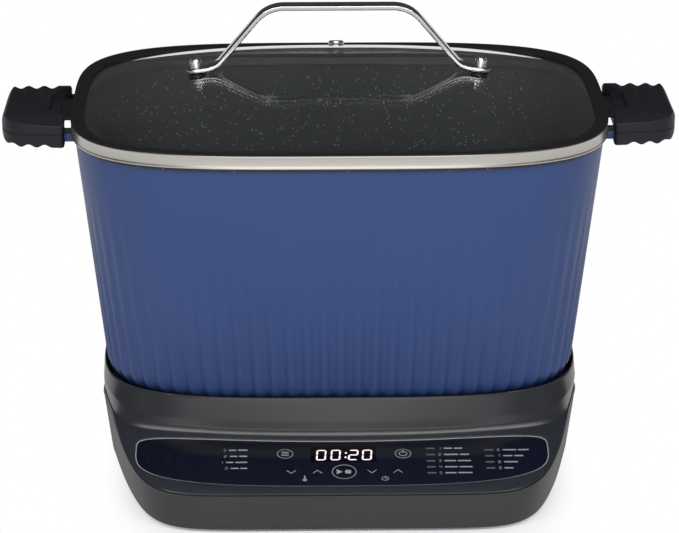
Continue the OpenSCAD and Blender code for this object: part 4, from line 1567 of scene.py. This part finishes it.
    def plan(self, angle: float, inset: float, lean: float = 0.0) -> Flat:
        """Gives a point of the base's outline.

        Args:
            angle: Direction in radians.
            inset: Distance inside the outline.
            lean: Further inset of the sides.

        Returns:
            The point.
        """
        ahead = math.sin(angle) < 0
        x, y = squared(angle, self.front_square if ahead else self.back_square)
        y *= (self.front if ahead else self.back) - inset
        return (x * (self.wide(y) - inset - lean), y)

    def wide(self, y: float) -> float:
        """Gives half the width of the base's outline before its corners are rounded.

        Args:
            y: Place from front to back.

        Returns:
            Half the width.
        """
        share = max(0.0, -y - self.taper_y) / (self.front - self.taper_y)
        tapered = self.half_w * (1 - self.taper * share ** self.taper_curve)
        return tapered - self.tuck * (1 - ease(*self.tuck_y, -y))

    def heel(self, angle: float, inset: float, beside: float) -> Flat:
        """Gives a point of the line where the collar meets the shelf.

        The line is bowed at the front and has square corners there.

        Args:
            angle: Direction in radians.
            inset: Distance inside the line.
            beside: Least distance inside the sides.

        Returns:
            The point.
        """
        if math.sin(angle) >= 0:
            return self.foot.at(angle, inset)
        x, y = squared(angle, self.heel_square)
        y *= (self.heel_d - inset) * (1 - self.heel_bow * x ** 2)
        wide = self.wide(y) + self.heel_over - self.lip_w * self.fore(y)
        return (x * (min(self.foot.half_w, wide) - max(inset, beside)), y)

    def shelf(self, y: float) -> float:
        """Gives the height of the sloping shelf."""
        return self.shelf_front_z + (y + self.front) * math.tan(math.radians(self.tilt))

    def ridge(self, y: float) -> float:
        """Gives the height of the joint between tray and cover, level along the sides."""
        return min(self.shelf(y), self.side_z)

    def fore(self, y: float) -> float:
        """Gives 1 at the front of the base and 0 along its sides and back."""
        return ease(*self.fore_y, -y)

    def rim_ring(
        self, angles: Sequence[float], inset: float, drop: float, ahead: float = 0.0
    ) -> Ring:
        """Gives a ring that follows the joint line.

        Args:
            angles: Directions.
            inset: Distance inside the outline.
            drop: Distance below the joint.
            ahead: Further inset at the front.

        Returns:
            The ring.
        """
        ring = []
        for a in angles:
            x, y = self.plan(a, inset + ahead * self.fore(self.plan(a, 0)[1]))
            ring.append((x, y, self.ridge(y) - drop))
        return ring

    def level_ring(self, angles: Sequence[float], inset: float, z: float, lean: float) -> Ring:
        """Gives a level ring of the tray, with a share of its lean."""
        return [(*self.plan(a, inset, lean * self.lean), z) for a in angles]

    def root_ring(
        self, angles: Sequence[float], inset: float, rise: float, beside: float = 0.0
    ) -> Ring:
        """Gives a ring around the root of the collar, which is squarer lower down.

        Args:
            angles: Directions.
            inset: Inset at the front.
            rise: Height above the shelf.
            beside: Inset along the sides, or 0 for the one that follows the tuck.

        Returns:
            The ring.
        """
        ring, share = [], min(1.0, max(0.0, 1 - rise / self.heel_h))
        side = beside or self.root_gap + self.tuck * (1 - ease(0.0, self.tuck_h, rise))
        for a in angles:
            fore = ease(*self.root_y, -self.foot.at(a)[1])
            gap = inset * fore + side * (1 - fore)
            x, y = partway(self.foot.at(a, gap), self.heel(a, gap, side), share)
            ring.append((x, y, self.ridge(y) + rise))
        return ring

    def shelf_ring(self, first: Ring, second: Ring, share: float) -> Ring:
        """Gives a ring between two others, laid on the shelf.

        Args:
            first: Outer ring.
            second: Inner ring.
            share: Share of the way from the first to the second.

        Returns:
            The ring.
        """
        ring = []
        for p, q in zip(first, second):
            x, y = partway(p[:2], q[:2], share)
            lift = (p[2] - self.ridge(p[1])) * (1 - share) + (q[2] - self.ridge(q[1])) * share
            ring.append((x, y, self.ridge(y) + lift))
        return ring

    def on_shelf(self) -> Matrix:
        """Gives the place and tilt of the shelf, with the panel's front edge at the origin."""
        spot = Vector((0, self.panel_y0, self.shelf(self.panel_y0)))
        return Matrix.Translation(spot) @ Matrix.Rotation(math.radians(self.tilt), 4, "X")

    def panel_plan(self, grow: float) -> list[Flat]:
        """Gives the outline of the control panel on the shelf.

        Args:
            grow: Distance by which it is enlarged.

        Returns:
            Points in anticlockwise order.
        """
        end, wide = self.panel_end * self.panel_d, self.panel_w + grow
        front, rear = [], []
        for k in range(-self.PANEL_STEPS, self.PANEL_STEPS + 1):
            f = abs(math.sin(math.pi / 2 * k / self.PANEL_STEPS))
            x = wide * math.copysign(f, k)
            low, high = (max(0.0, 1 - f ** n) ** (1 / n) for n in self.PANEL_SQUARES)
            depth = self.panel_d * (1 - self.panel_end + self.PANEL_BOW * f * f) + grow
            front.append((x, end - (end + grow) * low))
            rear.append((x, end + depth * high))
        return front + rear[-2:0:-1]

    def panel_rings(self, steps: Sequence[Flat]) -> list[Ring]:
        """Gives level rings of the panel's outline from pairs of growth and height."""
        return [[(x, y, z) for x, y in self.panel_plan(grow)] for grow, z in steps]

    def outline_steps(self) -> list[float]:
        """Gives directions that step evenly around the base."""
        middle = (self.front + self.back) / 2
        return Oval(self.half_w, middle, self.STEP_SQUARE).steps(self.POINTS)

    def tray_cuts(self) -> Form:
        """Gives the screw wells, foot seats, air slots and inlet opening.

        Returns:
            The form that is cut out of the tray.
        """
        cuts, z = Form(), self.bottom_z
        wells = [(self.SCREW_WELL, self.screw_x, y, self.SCREW_POINTS) for y in self.SCREWS_Y]
        wells += [(self.FOOT_WELL, x, y, self.FOOT_POINTS) for x, y in self.FEET]
        for well, x, y, points in wells:
            steps = [(radius, z + rise) for radius, rise in well]
            for side in Side:
                place = Matrix.Translation((side.value * x, y, 0))
                cuts.join(Form().lathe(steps, points).moved(place))
        low, high = (z + rise for rise in self.cut_z)
        for i in range(-self.slots, self.slots + 1):
            left, right = (i * self.slot_pitch + s * self.slot_half for s in (-1, 1))
            cuts.block((left, self.slot_y[0], low), (right, self.slot_y[1], high), self.slot_round)
        wide, (near, far) = self.inlet_half, (self.back + y for y in self.inlet_y)
        low, high = self.inlet_z
        return cuts.block((-wide, near, low), (wide, far, high), self.inlet_round)

    def build_tray(self) -> None:
        """Makes the lower tray with its air slots, foot seats and screw holes."""
        angles = self.outline_steps()
        rings = [self.level_ring(angles, inset, self.bottom_z + rise, lean)
                 for inset, rise, lean in self.TRAY_FOOT]
        rings += [self.rim_ring(angles, inset, drop) for inset, drop in self.TRAY_EDGE]
        rings += [self.level_ring(angles, inset, self.floor_z + rise, lean)
                  for inset, rise, lean in self.TRAY_INSIDE]
        tray = shape("base_tray", Form().skin(rings))
        carve(tray, self.tray_cuts())
        dress(tray, CHARCOAL, Body.BASE, "base_charcoal", "lower_housing")

    def cover_rings(self) -> list[Ring]:
        """Gives the rings of the upper cover, from the joint over shelf and collar into the well.

        Returns:
            Rings that close on themselves.
        """
        angles = self.outline_steps()
        turns = [(math.cos(a), math.sin(a)) for a in angles]
        outer = [math.atan2(s * (self.FAN if s < 0 else 1), c) for c, s in turns]
        edge = self.rim_ring(outer, self.lip_in, 0.0, self.lip_w)
        fillet = [self.root_ring(angles, inset, rise) for inset, rise in self.FILLET]
        under = self.well_z - self.well_t
        rings = [self.rim_ring(outer, inset, drop) for inset, drop in self.COVER_EDGE]
        rings += [self.rim_ring(outer, inset, drop, ahead) for inset, ahead, drop in self.LIP]
        rings += [edge] + [self.shelf_ring(edge, fillet[0], k / self.SHELF_RINGS)
                           for k in range(1, self.SHELF_RINGS)]
        rings += fillet
        rings += [self.collar.ring(angles, self.collar_z - drop, inset)
                  for inset, drop in self.COLLAR_EDGE]
        well = [(inset, self.collar_z - drop) for inset, drop in self.WELL_EDGE]
        well += [(inset, self.well_z + rise) for inset, rise in self.WELL_FOOT]
        rings += [self.well.ring(angles, z, inset) for inset, z in well]
        rings += [circle(angles, self.plate_r, z) for z in (self.well_z, under)]
        rings.append(self.well.ring(angles, under, self.WELL_UNDER))
        rings.append(self.root_ring(angles, self.ROOT_UNDER, self.ROOT_UNDER_RISE, self.ROOT_UNDER))
        rings += [self.rim_ring(outer, inset, drop) for inset, drop in self.COVER_BACK]
        return rings

    def build_cover(self) -> None:
        """Makes the upper cover and cuts the panel's pocket with a softened edge."""
        cover = shape("base_cover", Form().skin(self.cover_rings(), True))
        pocket = Form().skin(self.panel_rings(self.POCKET)).moved(self.on_shelf())
        carve(cover, pocket, self.COVER_CREASE)
        dress(cover, COLLAR, Body.BASE, "collar_charcoal", "upper_housing")

    def build(self) -> None:
        """Makes every piece of the base's housing."""
        self.build_tray()
        self.build_cover()


class Way(Enum):
    """Which way an arrow on the panel points."""

    UP = 1
    DOWN = -1


@dataclass
class ControlPanel:
    """The touch panel on the shelf, with its display, lamps and generic signs."""

    base: Base
    top: float = -0.55
    low: float = -2.0
    mark: Flat = (0.01, 0.05)
    glass: Flat = (0.005, 0.03)
    fit: float = 0.1
    edge_round: float = 0.25
    slant: float = 0.06
    arrow_w: float = 2.7
    arrow_h: float = 1.9
    arrow_t: float = 0.75

    # Half the line of a figure as a share of its height, and gap as a share of that half line.
    HALF_LINE, LINE_GAP = 0.0475, 0.24
    # Share of a bar's smaller side that rounds its corners, and points to a round line.
    BAR_ROUND, HOOP_POINTS = 0.3, 56
    SLAB_CREASE = 50.0
    # Parts of a seven-part figure that each number lights.
    SEGMENTS = {0: "abcdef", 1: "bc", 2: "abged", 3: "abgcd", 4: "fgbc", 5: "afgcd", 6: "afgedc",
                7: "abc", 8: "abcdefg", 9: "abcfgd"}
    # Painted highlight of the pocket's edge, a pale line, as growth of the panel's outline and
    # height above its face.
    PAINTED_HIGHLIGHT_LINE = ((-0.3, -0.3), (0.28, -0.3), (0.28, 0.12), (0.1, 0.16), (-0.3, 0.02))
    # Display: middle, half sizes and corner of its window, then its figures and the two dots.
    WINDOW_AT, WINDOW_HALF, WINDOW_ROUND = (0.65, 32.7), (19.6, 8.0), 1.2
    FIGURES, FIGURES_Y = ((0, -15.9), (0, -7.3), (2, 3.2), (0, 11.4)), 26.4
    FIGURE_W, FIGURE_H = 6.0, 10.8
    DOTS_X, DOTS_Y, DOT_W, DOT_H = 1.7, (29.4, 34.0), 1.1, 1.5
    # Round lines of the keys as middle, radius and width: start, menu, two of power, heat and time.
    HOOPS = ((0.8, 14.5, 7.3, 0.5), (-34.1, 33.4, 4.8, 0.4), (36.2, 32.9, 4.8, 0.4),
             (36.2, 32.9, 2.5, 0.5), (-22.5, 6.4, 1.3, 1.0), (24.9, 7.4, 2.2, 0.45))
    # Bars of the keys as middle and size: stop, three of menu, power, heat and two hands of time.
    BARS = ((3.1, 14.5, 3.6, 3.6), (-34.1, 31.6, 4.4, 0.7), (-34.1, 33.4, 4.4, 0.7),
            (-34.1, 35.2, 4.4, 0.7), (36.2, 35.0, 0.6, 2.6), (-22.5, 9.0, 0.9, 3.6),
            (24.9, 8.2, 0.45, 1.8), (25.5, 7.3, 1.5, 0.45))
    # Triangle of the start key, and the arrows as place and way, with their height.
    START = ((-3.6, 12.0), (0.0, 14.5), (-3.6, 17.0))
    ARROWS = ((-30.5, Way.DOWN), (-15.0, Way.UP), (17.3, Way.DOWN), (32.7, Way.UP))
    ARROWS_Y = 14.7
    # Rows of each column: figure, height and lengths of the dashes.
    LEFT_ROWS = ((3, 37.5, (4.6, 5.6)), (2, 31.2, (4.6, 5.0)), (1, 24.9, (4.6, 7.2)),
                 (0, 18.7, (4.6, 4.2)))
    MIDDLE_ROWS = ((1, 38.2, (5.2, 5.0)), (2, 31.7, (8.4, 5.6)), (3, 25.2, (6.8, 8.0)),
                   (4, 18.9, (7.6, 7.8)), (5, 12.8, (6.6, 8.4)))
    RIGHT_ROWS = ((6, 36.2, (8.2, 6.4)), (7, 30.0, (5.6, 5.4)), (8, 23.7, (8.4,)),
                  (9, 17.4, (5.4,)))
    # Right edge of the first column, and for the others the lamps, the left edge and the rows.
    LEFT_END = -56.5
    COLUMNS = ((52.6, 57.2, MIDDLE_ROWS), (87.6, 92.4, RIGHT_ROWS))
    LAMP_W, LAMP_H = 5.4, 1.6
    # Size of a row's figure, start of its dashes, height of a dash and gap after it.
    ROW_FIGURE, DASH_START, DASH_H, DASH_GAP = (1.5, 2.6), 3.4, 1.2, 1.0

    def flat(self, form: Form, outline: Sequence[Flat]) -> None:
        """Adds a thin flat sign with the given outline."""
        form.plate(outline, *(self.top + rise for rise in self.mark))

    def bar(self, form: Form, x: float, y: float, wide: float, tall: float) -> None:
        """Adds a bar about its middle, with rounded corners."""
        corners = round_box(wide / 2, tall / 2, min(wide, tall) * self.BAR_ROUND)
        self.flat(form, [(x + u, y + v) for u, v in corners])

    def hoop(self, form: Form, x: float, y: float, radius: float, line: float) -> None:
        """Adds a thin round ring.

        Args:
            form: Form that takes the ring.
            x: Middle across the panel.
            y: Middle up the panel.
            radius: Outer radius.
            line: Width of the line.
        """
        low, high = (self.top + rise for rise in self.mark)
        steps = [(radius - line, low), (radius, low), (radius, high), (radius - line, high)]
        form.join(Form().lathe(steps, self.HOOP_POINTS, True).moved(Matrix.Translation((x, y, 0))))

    def chevron(self, form: Form, x: float, y: float, way: Way) -> None:
        """Adds an arrow head.

        Args:
            form: Form that takes the arrow head.
            x: Middle across the panel.
            y: Middle up the panel.
            way: Which way it points.
        """
        h, w, t = self.arrow_h * way.value, self.arrow_w, self.arrow_t * way.value
        points = [(-w, -h + t), (-w, -h), (0, h - t), (w, -h), (w, -h + t), (0, h)]
        order = points if way is Way.UP else points[::-1]
        self.flat(form, [(x + u, y + v) for u, v in order])

    def digit(self, form: Form, value: int, x: float, y: float, wide: float, tall: float) -> None:
        """Adds a seven-part figure with its lower left corner at x and y.

        Args:
            form: Form that takes the bars.
            value: Figure from 0 to 9.
            x: Left edge.
            y: Lower edge.
            wide: Width of the figure.
            tall: Height of the figure.
        """
        h = tall * self.HALF_LINE
        gap, upper = h * self.LINE_GAP, tall / 2 - h
        level = {"a": tall - h, "g": tall / 2, "d": h}
        upright = {"f": (h, upper), "b": (wide - h, upper), "e": (h, 0.0), "c": (wide - h, 0.0)}
        for key in self.SEGMENTS[value]:
            if key in level:
                a, b, m = h + gap, wide - h - gap, level[key]
            else:
                m, start = upright[key]
                a, b = h + gap + start, start + upper + h - gap
            bar = [(a, m), (a + h, m - h), (b - h, m - h), (b, m), (b - h, m + h), (a + h, m + h)]
            # An upright bar is a level one with its axes swapped and its order kept.
            if key in upright:
                bar = [(v, u) for u, v in bar[:1] + bar[:0:-1]]
            self.flat(form, [(x + u + self.slant * v, y + v) for u, v in bar])

    def row(self, form: Form, x: float, y: float, figure: int, dashes: Sequence[float]) -> None:
        """Adds a small figure and a row of dashes after it.

        Args:
            form: Form that takes the row.
            x: Left edge of the figure.
            y: Middle of the row.
            figure: Figure from 0 to 9.
            dashes: Lengths of the dashes.
        """
        wide, tall = self.ROW_FIGURE
        self.digit(form, figure, x, y - tall / 2, wide, tall)
        at = x + self.DASH_START
        for dash in dashes:
            self.bar(form, at + dash / 2, y, dash, self.DASH_H)
            at += dash + self.DASH_GAP

    def lay(
        self, name: str, form: Form, finish: Finish, slot: str, *nodes: str, crease: float = CREASE
    ) -> None:
        """Lays a form on the shelf and dresses it."""
        piece = shape(name, form.moved(self.base.on_shelf()), crease)
        dress(piece, finish, Body.BASE, slot, *nodes)

    def build_slab(self) -> None:
        """Makes the dark panel, sunk a little below the shelf."""
        outline = self.base.panel_plan(self.fit)
        slab = Form().plate(outline, self.low, self.top, self.edge_round)
        self.lay("panel_slab", slab, PANEL, "panel_gloss", "control_panel", crease=self.SLAB_CREASE)

    def build_painted_highlight_line(self) -> None:
        """Makes the fine pale line around the panel, a painted highlight of the pocket's edge."""
        steps = [(grow, self.top + rise) for grow, rise in self.PAINTED_HIGHLIGHT_LINE]
        line = Form().skin(self.base.panel_rings(steps), True)
        self.lay("panel_painted_highlight_line", line, PAINTED_EDGE_HIGHLIGHT, "panel_gloss", crease=self.SLAB_CREASE)

    def build_display(self) -> None:
        """Makes the smoked window and the lit figures on it."""
        x, y = self.WINDOW_AT
        window = [(x + u, y + v) for u, v in round_box(*self.WINDOW_HALF, self.WINDOW_ROUND)]
        glass, lit = Form().plate(window, *(self.top + rise for rise in self.glass)), Form()
        for value, left in self.FIGURES:
            self.digit(lit, value, left, self.FIGURES_Y, self.FIGURE_W, self.FIGURE_H)
        for high in self.DOTS_Y:
            shift = self.slant * (high - self.FIGURES_Y)
            self.bar(lit, self.DOTS_X + shift, high, self.DOT_W, self.DOT_H)
        self.lay("panel_window", glass, WINDOW, "display_black")
        self.lay("panel_figures", lit, DIGITS, "display_black")

    def build_signs(self) -> None:
        """Makes the printed signs: rings, arrows, figures, dashes and lamp bars."""
        signs, lamps = Form(), Form()
        for hoop in self.HOOPS:
            self.hoop(signs, *hoop)
        for bar in self.BARS:
            self.bar(signs, *bar)
        self.flat(signs, self.START)
        for x, way in self.ARROWS:
            self.chevron(signs, x, self.ARROWS_Y, way)
        for figure, y, dashes in self.LEFT_ROWS:
            width = self.DASH_START + sum(dashes) + self.DASH_GAP
            self.row(signs, self.LEFT_END - width, y, figure, dashes)
        for lamp_x, left, rows in self.COLUMNS:
            for figure, y, dashes in rows:
                self.bar(lamps, lamp_x, y, self.LAMP_W, self.LAMP_H)
                self.row(signs, left, y, figure, dashes)
        self.lay("panel_signs", signs, PRINT, "panel_gloss")
        self.lay("panel_lamps", lamps, FAINT, "panel_gloss")

    def build(self) -> None:
        """Makes the panel with everything on it."""
        self.build_slab()
        self.build_painted_highlight_line()
        self.build_display()
        self.build_signs()


@dataclass
class Stirrer:
    """The lift-out paddle on the stirring spindle."""

    low: float = 57.5
    hub_z: float = 70.2
    top: float = 101.5
    reach: float = 92.0
    socket_h: float = 25.2
    blade_half: float = 1.8
    blade_round: float = 0.8

    HUB_POINTS = 60

    def build(self) -> None:
        """Makes the hub with its socket and the two blades."""
        low, top, r, z = self.low, self.top, self.reach, self.hub_z
        roof = z + self.socket_h
        hub = [(6.6, z), (11.2, z), (12.0, z + 0.8), (12.0, top - 4.0), (11.4, top - 1.6),
               (9.6, top - 0.3), (7.0, top), (0.4, top), (0.4, roof), (6.6, roof)]
        form = Form().lathe(hub, self.HUB_POINTS, True)
        side = soften([(6, z + 1), (18, z + 1), (24, low), (r - 5, low), (r, low + 5),
                       (r - 2, low + 22), (r - 12, low + 26), (30, top - 12), (6, top - 3)])
        upright = Matrix.Rotation(math.pi / 2, 4, "X")
        for turn in (0.0, math.pi):
            blade = Form().plate(side, -self.blade_half, self.blade_half, self.blade_round)
            form.join(blade.moved(Matrix.Rotation(turn, 4, "Z") @ upright))
        paddle = shape("stir_paddle_blades", form)
        dress(paddle, NYLON, Body.PADDLE, "paddle_plastic", "stir_paddle")


class Works:
    """The pieces that keep the frame's own solids."""

    WHITE = Moulding("works_white_acetal", srgb(222, 221, 212), roughness=0.42, grain=700.0)
    BLACK = Moulding("works_black_moulding", srgb(34, 34, 36), roughness=0.45, grain=900.0)
    CERAMIC = Moulding("works_ceramic", srgb(214, 209, 196), roughness=0.6, grain=1600.0)
    LAMINATE = Moulding("works_green_laminate", srgb(30, 92, 56), roughness=0.38, grain=420.0)
    CAST = TurnedMetal("works_cast_plate", srgb(186, 186, 188), roughness=0.34)
    GROUND = TurnedMetal("works_ground_steel", srgb(196, 196, 196), roughness=0.22, rings=9000.0)
    SHEATH = TurnedMetal("works_element_sheath", srgb(120, 112, 104), roughness=0.5, rings=2600.0)
    BRONZE = TurnedMetal("works_bronze", srgb(186, 146, 88), roughness=0.32, rings=6000.0)
    BRASS = TurnedMetal("works_brass", srgb(214, 190, 122), roughness=0.26, rings=7000.0)
    PLATE = Steel(
        "works_plain_sheet", (0.62, 0.62, 0.63),
        roughness=0.36, stretch=(900.0, 40.0, 40.0), streak=0.2)

    NODES = {
        "display_module": BLACK, "touch_board": LAMINATE, "power_board": LAMINATE,
        "board_parts": BLACK, "heating_plate": CAST, "heating_element": SHEATH,
        "thermal_cutout": CERAMIC, "heat_shield": PLATE, "stir_motor": PLATE, "gear_case": WHITE,
        "gear_cover": WHITE, "shaft_bushes": BRONZE, "power_inlet": BLACK, "inlet_pins": BRASS,
        "rubber_feet": FOOT, "housing_screws": GROUND, "sensor_holder": CERAMIC,
        "sensor_spring": GROUND, "sensor_plunger": CAST, "drive_shaft": GROUND, "drive_gear": WHITE,
        "drive_coupler": BLACK, "motor_pinion": BRASS, "spindle_bush": BRONZE, "spindle_seal": SEAL,
        "stir_spindle": GROUND, "handle_bolts": NUT_STEEL,
    }

    def build(self) -> None:
        """Paints every solid of the frame that stays in view."""
        for name, finish in self.NODES.items():
            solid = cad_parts[name]
            for place in solid.material_slots:
                place.material = finish.material()
            log.info("solid %s keeps its shape and takes %s", name, finish.name)


def hang(
    name: str, data: bpy.types.Light | bpy.types.Camera, place: Point, aim: Point
) -> bpy.types.Object:
    """Puts a lamp or a camera in its place and turns it towards a point.

    Args:
        name: Name of the object.
        data: Lamp or camera.
        place: Where it hangs, in metres.
        aim: Point that it looks at, in metres.

    Returns:
        The new object.
    """
    holder = bpy.data.objects.new(name, data)
    holder.location = place
    way = Vector(aim) - Vector(place)
    holder.rotation_euler = way.to_track_quat("-Z", "Y").to_euler()
    bpy.context.scene.collection.objects.link(holder)
    return holder


@dataclass(frozen=True)
class SoftBox:
    """A soft studio lamp that looks at a point, with its sizes in metres and its power in watts."""

    name: str
    place: Point
    aim: Point
    wide: float
    tall: float
    power: float

    def build(self) -> None:
        """Hangs the lamp."""
        lamp = bpy.data.lights.new(self.name, "AREA")
        lamp.shape, lamp.size, lamp.size_y = "RECTANGLE", self.wide, self.tall
        lamp.energy = self.power
        hang(self.name, lamp, self.place, self.aim)


@dataclass(frozen=True)
class Studio:
    """The pale floor, the white surroundings and the lamps."""

    floor_half: float = 6000.0
    floor_z: Flat = (-12.0, -0.2)
    floor_tone: Colour = (0.88, 0.88, 0.88)
    white: Colour = (1.0, 1.0, 1.0)
    shadow_squash: float = 1.35
    shadow_reach: Flat = (0.14, 0.2)
    shadow_lift: float = 0.1
    floor_mirrored: float = 0.6
    air_mirrored: float = 0.95
    fill: float = 0.36
    ceiling: float = 0.04
    dark_above: Flat = (0.02, 0.26)
    dark_behind: Flat = (0.1, 0.5)
    dark_beside: Flat = (0.5, 0.85)
    beside_share: float = 0.8

    LAMPS = (
        SoftBox("lamp_overhead", (0.0, -0.75, 1.3), (0.0, 0.0, 0.1),
                wide=1.9, tall=0.26, power=16.0),
        SoftBox("lamp_front", (0.0, -2.2, 0.5), (0.0, 0.0, 0.12),
                wide=1.5, tall=0.9, power=9.4),
    )

    def seen(self, sheet: Sheet, mirrored: float) -> Wire:
        """Tells rays that look from rays that light.

        Args:
            sheet: Sheet that takes the nodes.
            mirrored: Share that reflections get.

        Returns:
            1 for rays that look or pass through glass, a share for reflections, and 0 for light.
        """
        path = sheet.node("ShaderNodeLightPath", {}, {}, "Is Camera Ray")
        through = sheet.math("MAXIMUM", path, path.twin("Is Transmission Ray"))
        return sheet.math("MAXIMUM", through, path.twin("Is Glossy Ray") * mirrored)

    def build_floor(self) -> None:
        """Lays the floor, which stays nearly white and keeps a soft shadow."""
        half = self.floor_half
        corners = [(-half, -half), (half, -half), (half, half), (-half, half)]
        floor = shape("studio_floor", Form().plate(corners, *self.floor_z))
        material = bpy.data.materials.new("studio_floor_white")
        material.use_nodes = True
        sheet = Sheet(material.node_tree)
        lit = sheet.node("ShaderNodeBsdfDiffuse", {}, {"Color": self.floor_tone})
        white = sheet.node("ShaderNodeEmission", {}, {"Color": self.white, "Strength": 1.0})
        x = sheet.node("ShaderNodeSeparateXYZ", {}, {0: sheet.coords()}, "X")
        y, wide = x.twin("Y"), x * self.shadow_squash
        reach = sheet.math("POWER", wide * wide * wide * wide + y * y * y * y, 0.25)
        far = sheet.rise(reach, *self.shadow_reach, low=self.shadow_lift)
        share = self.seen(sheet, self.floor_mirrored) * far
        both = sheet.node("ShaderNodeMixShader", {}, {0: share, 1: lit, 2: white})
        sheet.node("ShaderNodeOutputMaterial", {}, {"Surface": both})
        floor.data.materials.append(material)

    def build_world(self) -> None:
        """Sets the surroundings: white to look at, darker above and behind in reflections."""
        world = bpy.data.worlds.new("studio_air")
        world.use_nodes = True
        sheet = Sheet(world.node_tree)
        level = sheet.node("ShaderNodeSeparateXYZ", {}, {0: sheet.coords()}, "Z")
        high = sheet.rise(level, *self.dark_above)
        rear = sheet.rise(level.twin("Y"), *self.dark_behind)
        beside = sheet.math("ABSOLUTE", level.twin("X"))
        side = sheet.rise(beside, *self.dark_beside, high=self.beside_share)
        dark = sheet.math("MAXIMUM", high, sheet.math("MAXIMUM", rear, side))
        looks = sheet.node("ShaderNodeLightPath", {}, {}, "Is Camera Ray")
        fill, white, ceiling = (
            sheet.node("ShaderNodeBackground", {}, {"Color": self.white, "Strength": strength})
            for strength in (self.fill, 1.0, self.ceiling))
        view = sheet.node("ShaderNodeMixShader", {}, {0: dark * (1 - looks), 1: white, 2: ceiling})
        share = self.seen(sheet, self.air_mirrored)
        both = sheet.node("ShaderNodeMixShader", {}, {0: share, 1: fill, 2: view})
        sheet.node("ShaderNodeOutputWorld", {}, {"Surface": both})
        bpy.context.scene.world = world

    def build(self) -> None:
        """Sets up the whole studio."""
        self.build_floor()
        self.build_world()
        for lamp in self.LAMPS:
            lamp.build()
        bpy.context.scene.view_settings.view_transform = "Standard"


@dataclass(frozen=True)
class PortraitCamera:
    """The camera at the photograph's viewing angle, with its places in metres."""

    place: Point = (-0.0323, -1.8265, 0.7541)
    aim: Point = (0.0, 0.023, 0.106)
    lens: float = 165.58
    sensor: float = 36.0
    shift: float = 0.0015
    clip: Flat = (0.05, 40.0)

    def build(self) -> None:
        """Sets the camera up and makes it the scene's own."""
        camera = bpy.data.cameras.new("portrait_camera")
        camera.lens, camera.sensor_width, camera.sensor_fit = self.lens, self.sensor, "HORIZONTAL"
        camera.shift_x = self.shift
        camera.clip_start, camera.clip_end = self.clip
        bpy.context.scene.camera = hang("portrait_camera", camera, self.place, self.aim)


def main() -> None:
    """Builds the pieces in order."""
    logging.basicConfig(level=logging.INFO, format="%(name)s: %(message)s")
    base = Base()
    PortraitCamera().build()
    Studio().build()
    base.build()
    ControlPanel(base).build()
    Works().build()
    Pot().build()
    for side in Side:
        SideGrip(side).build()
    Stirrer().build()
    Lid().build()


if __name__ == "__main__":
    main()
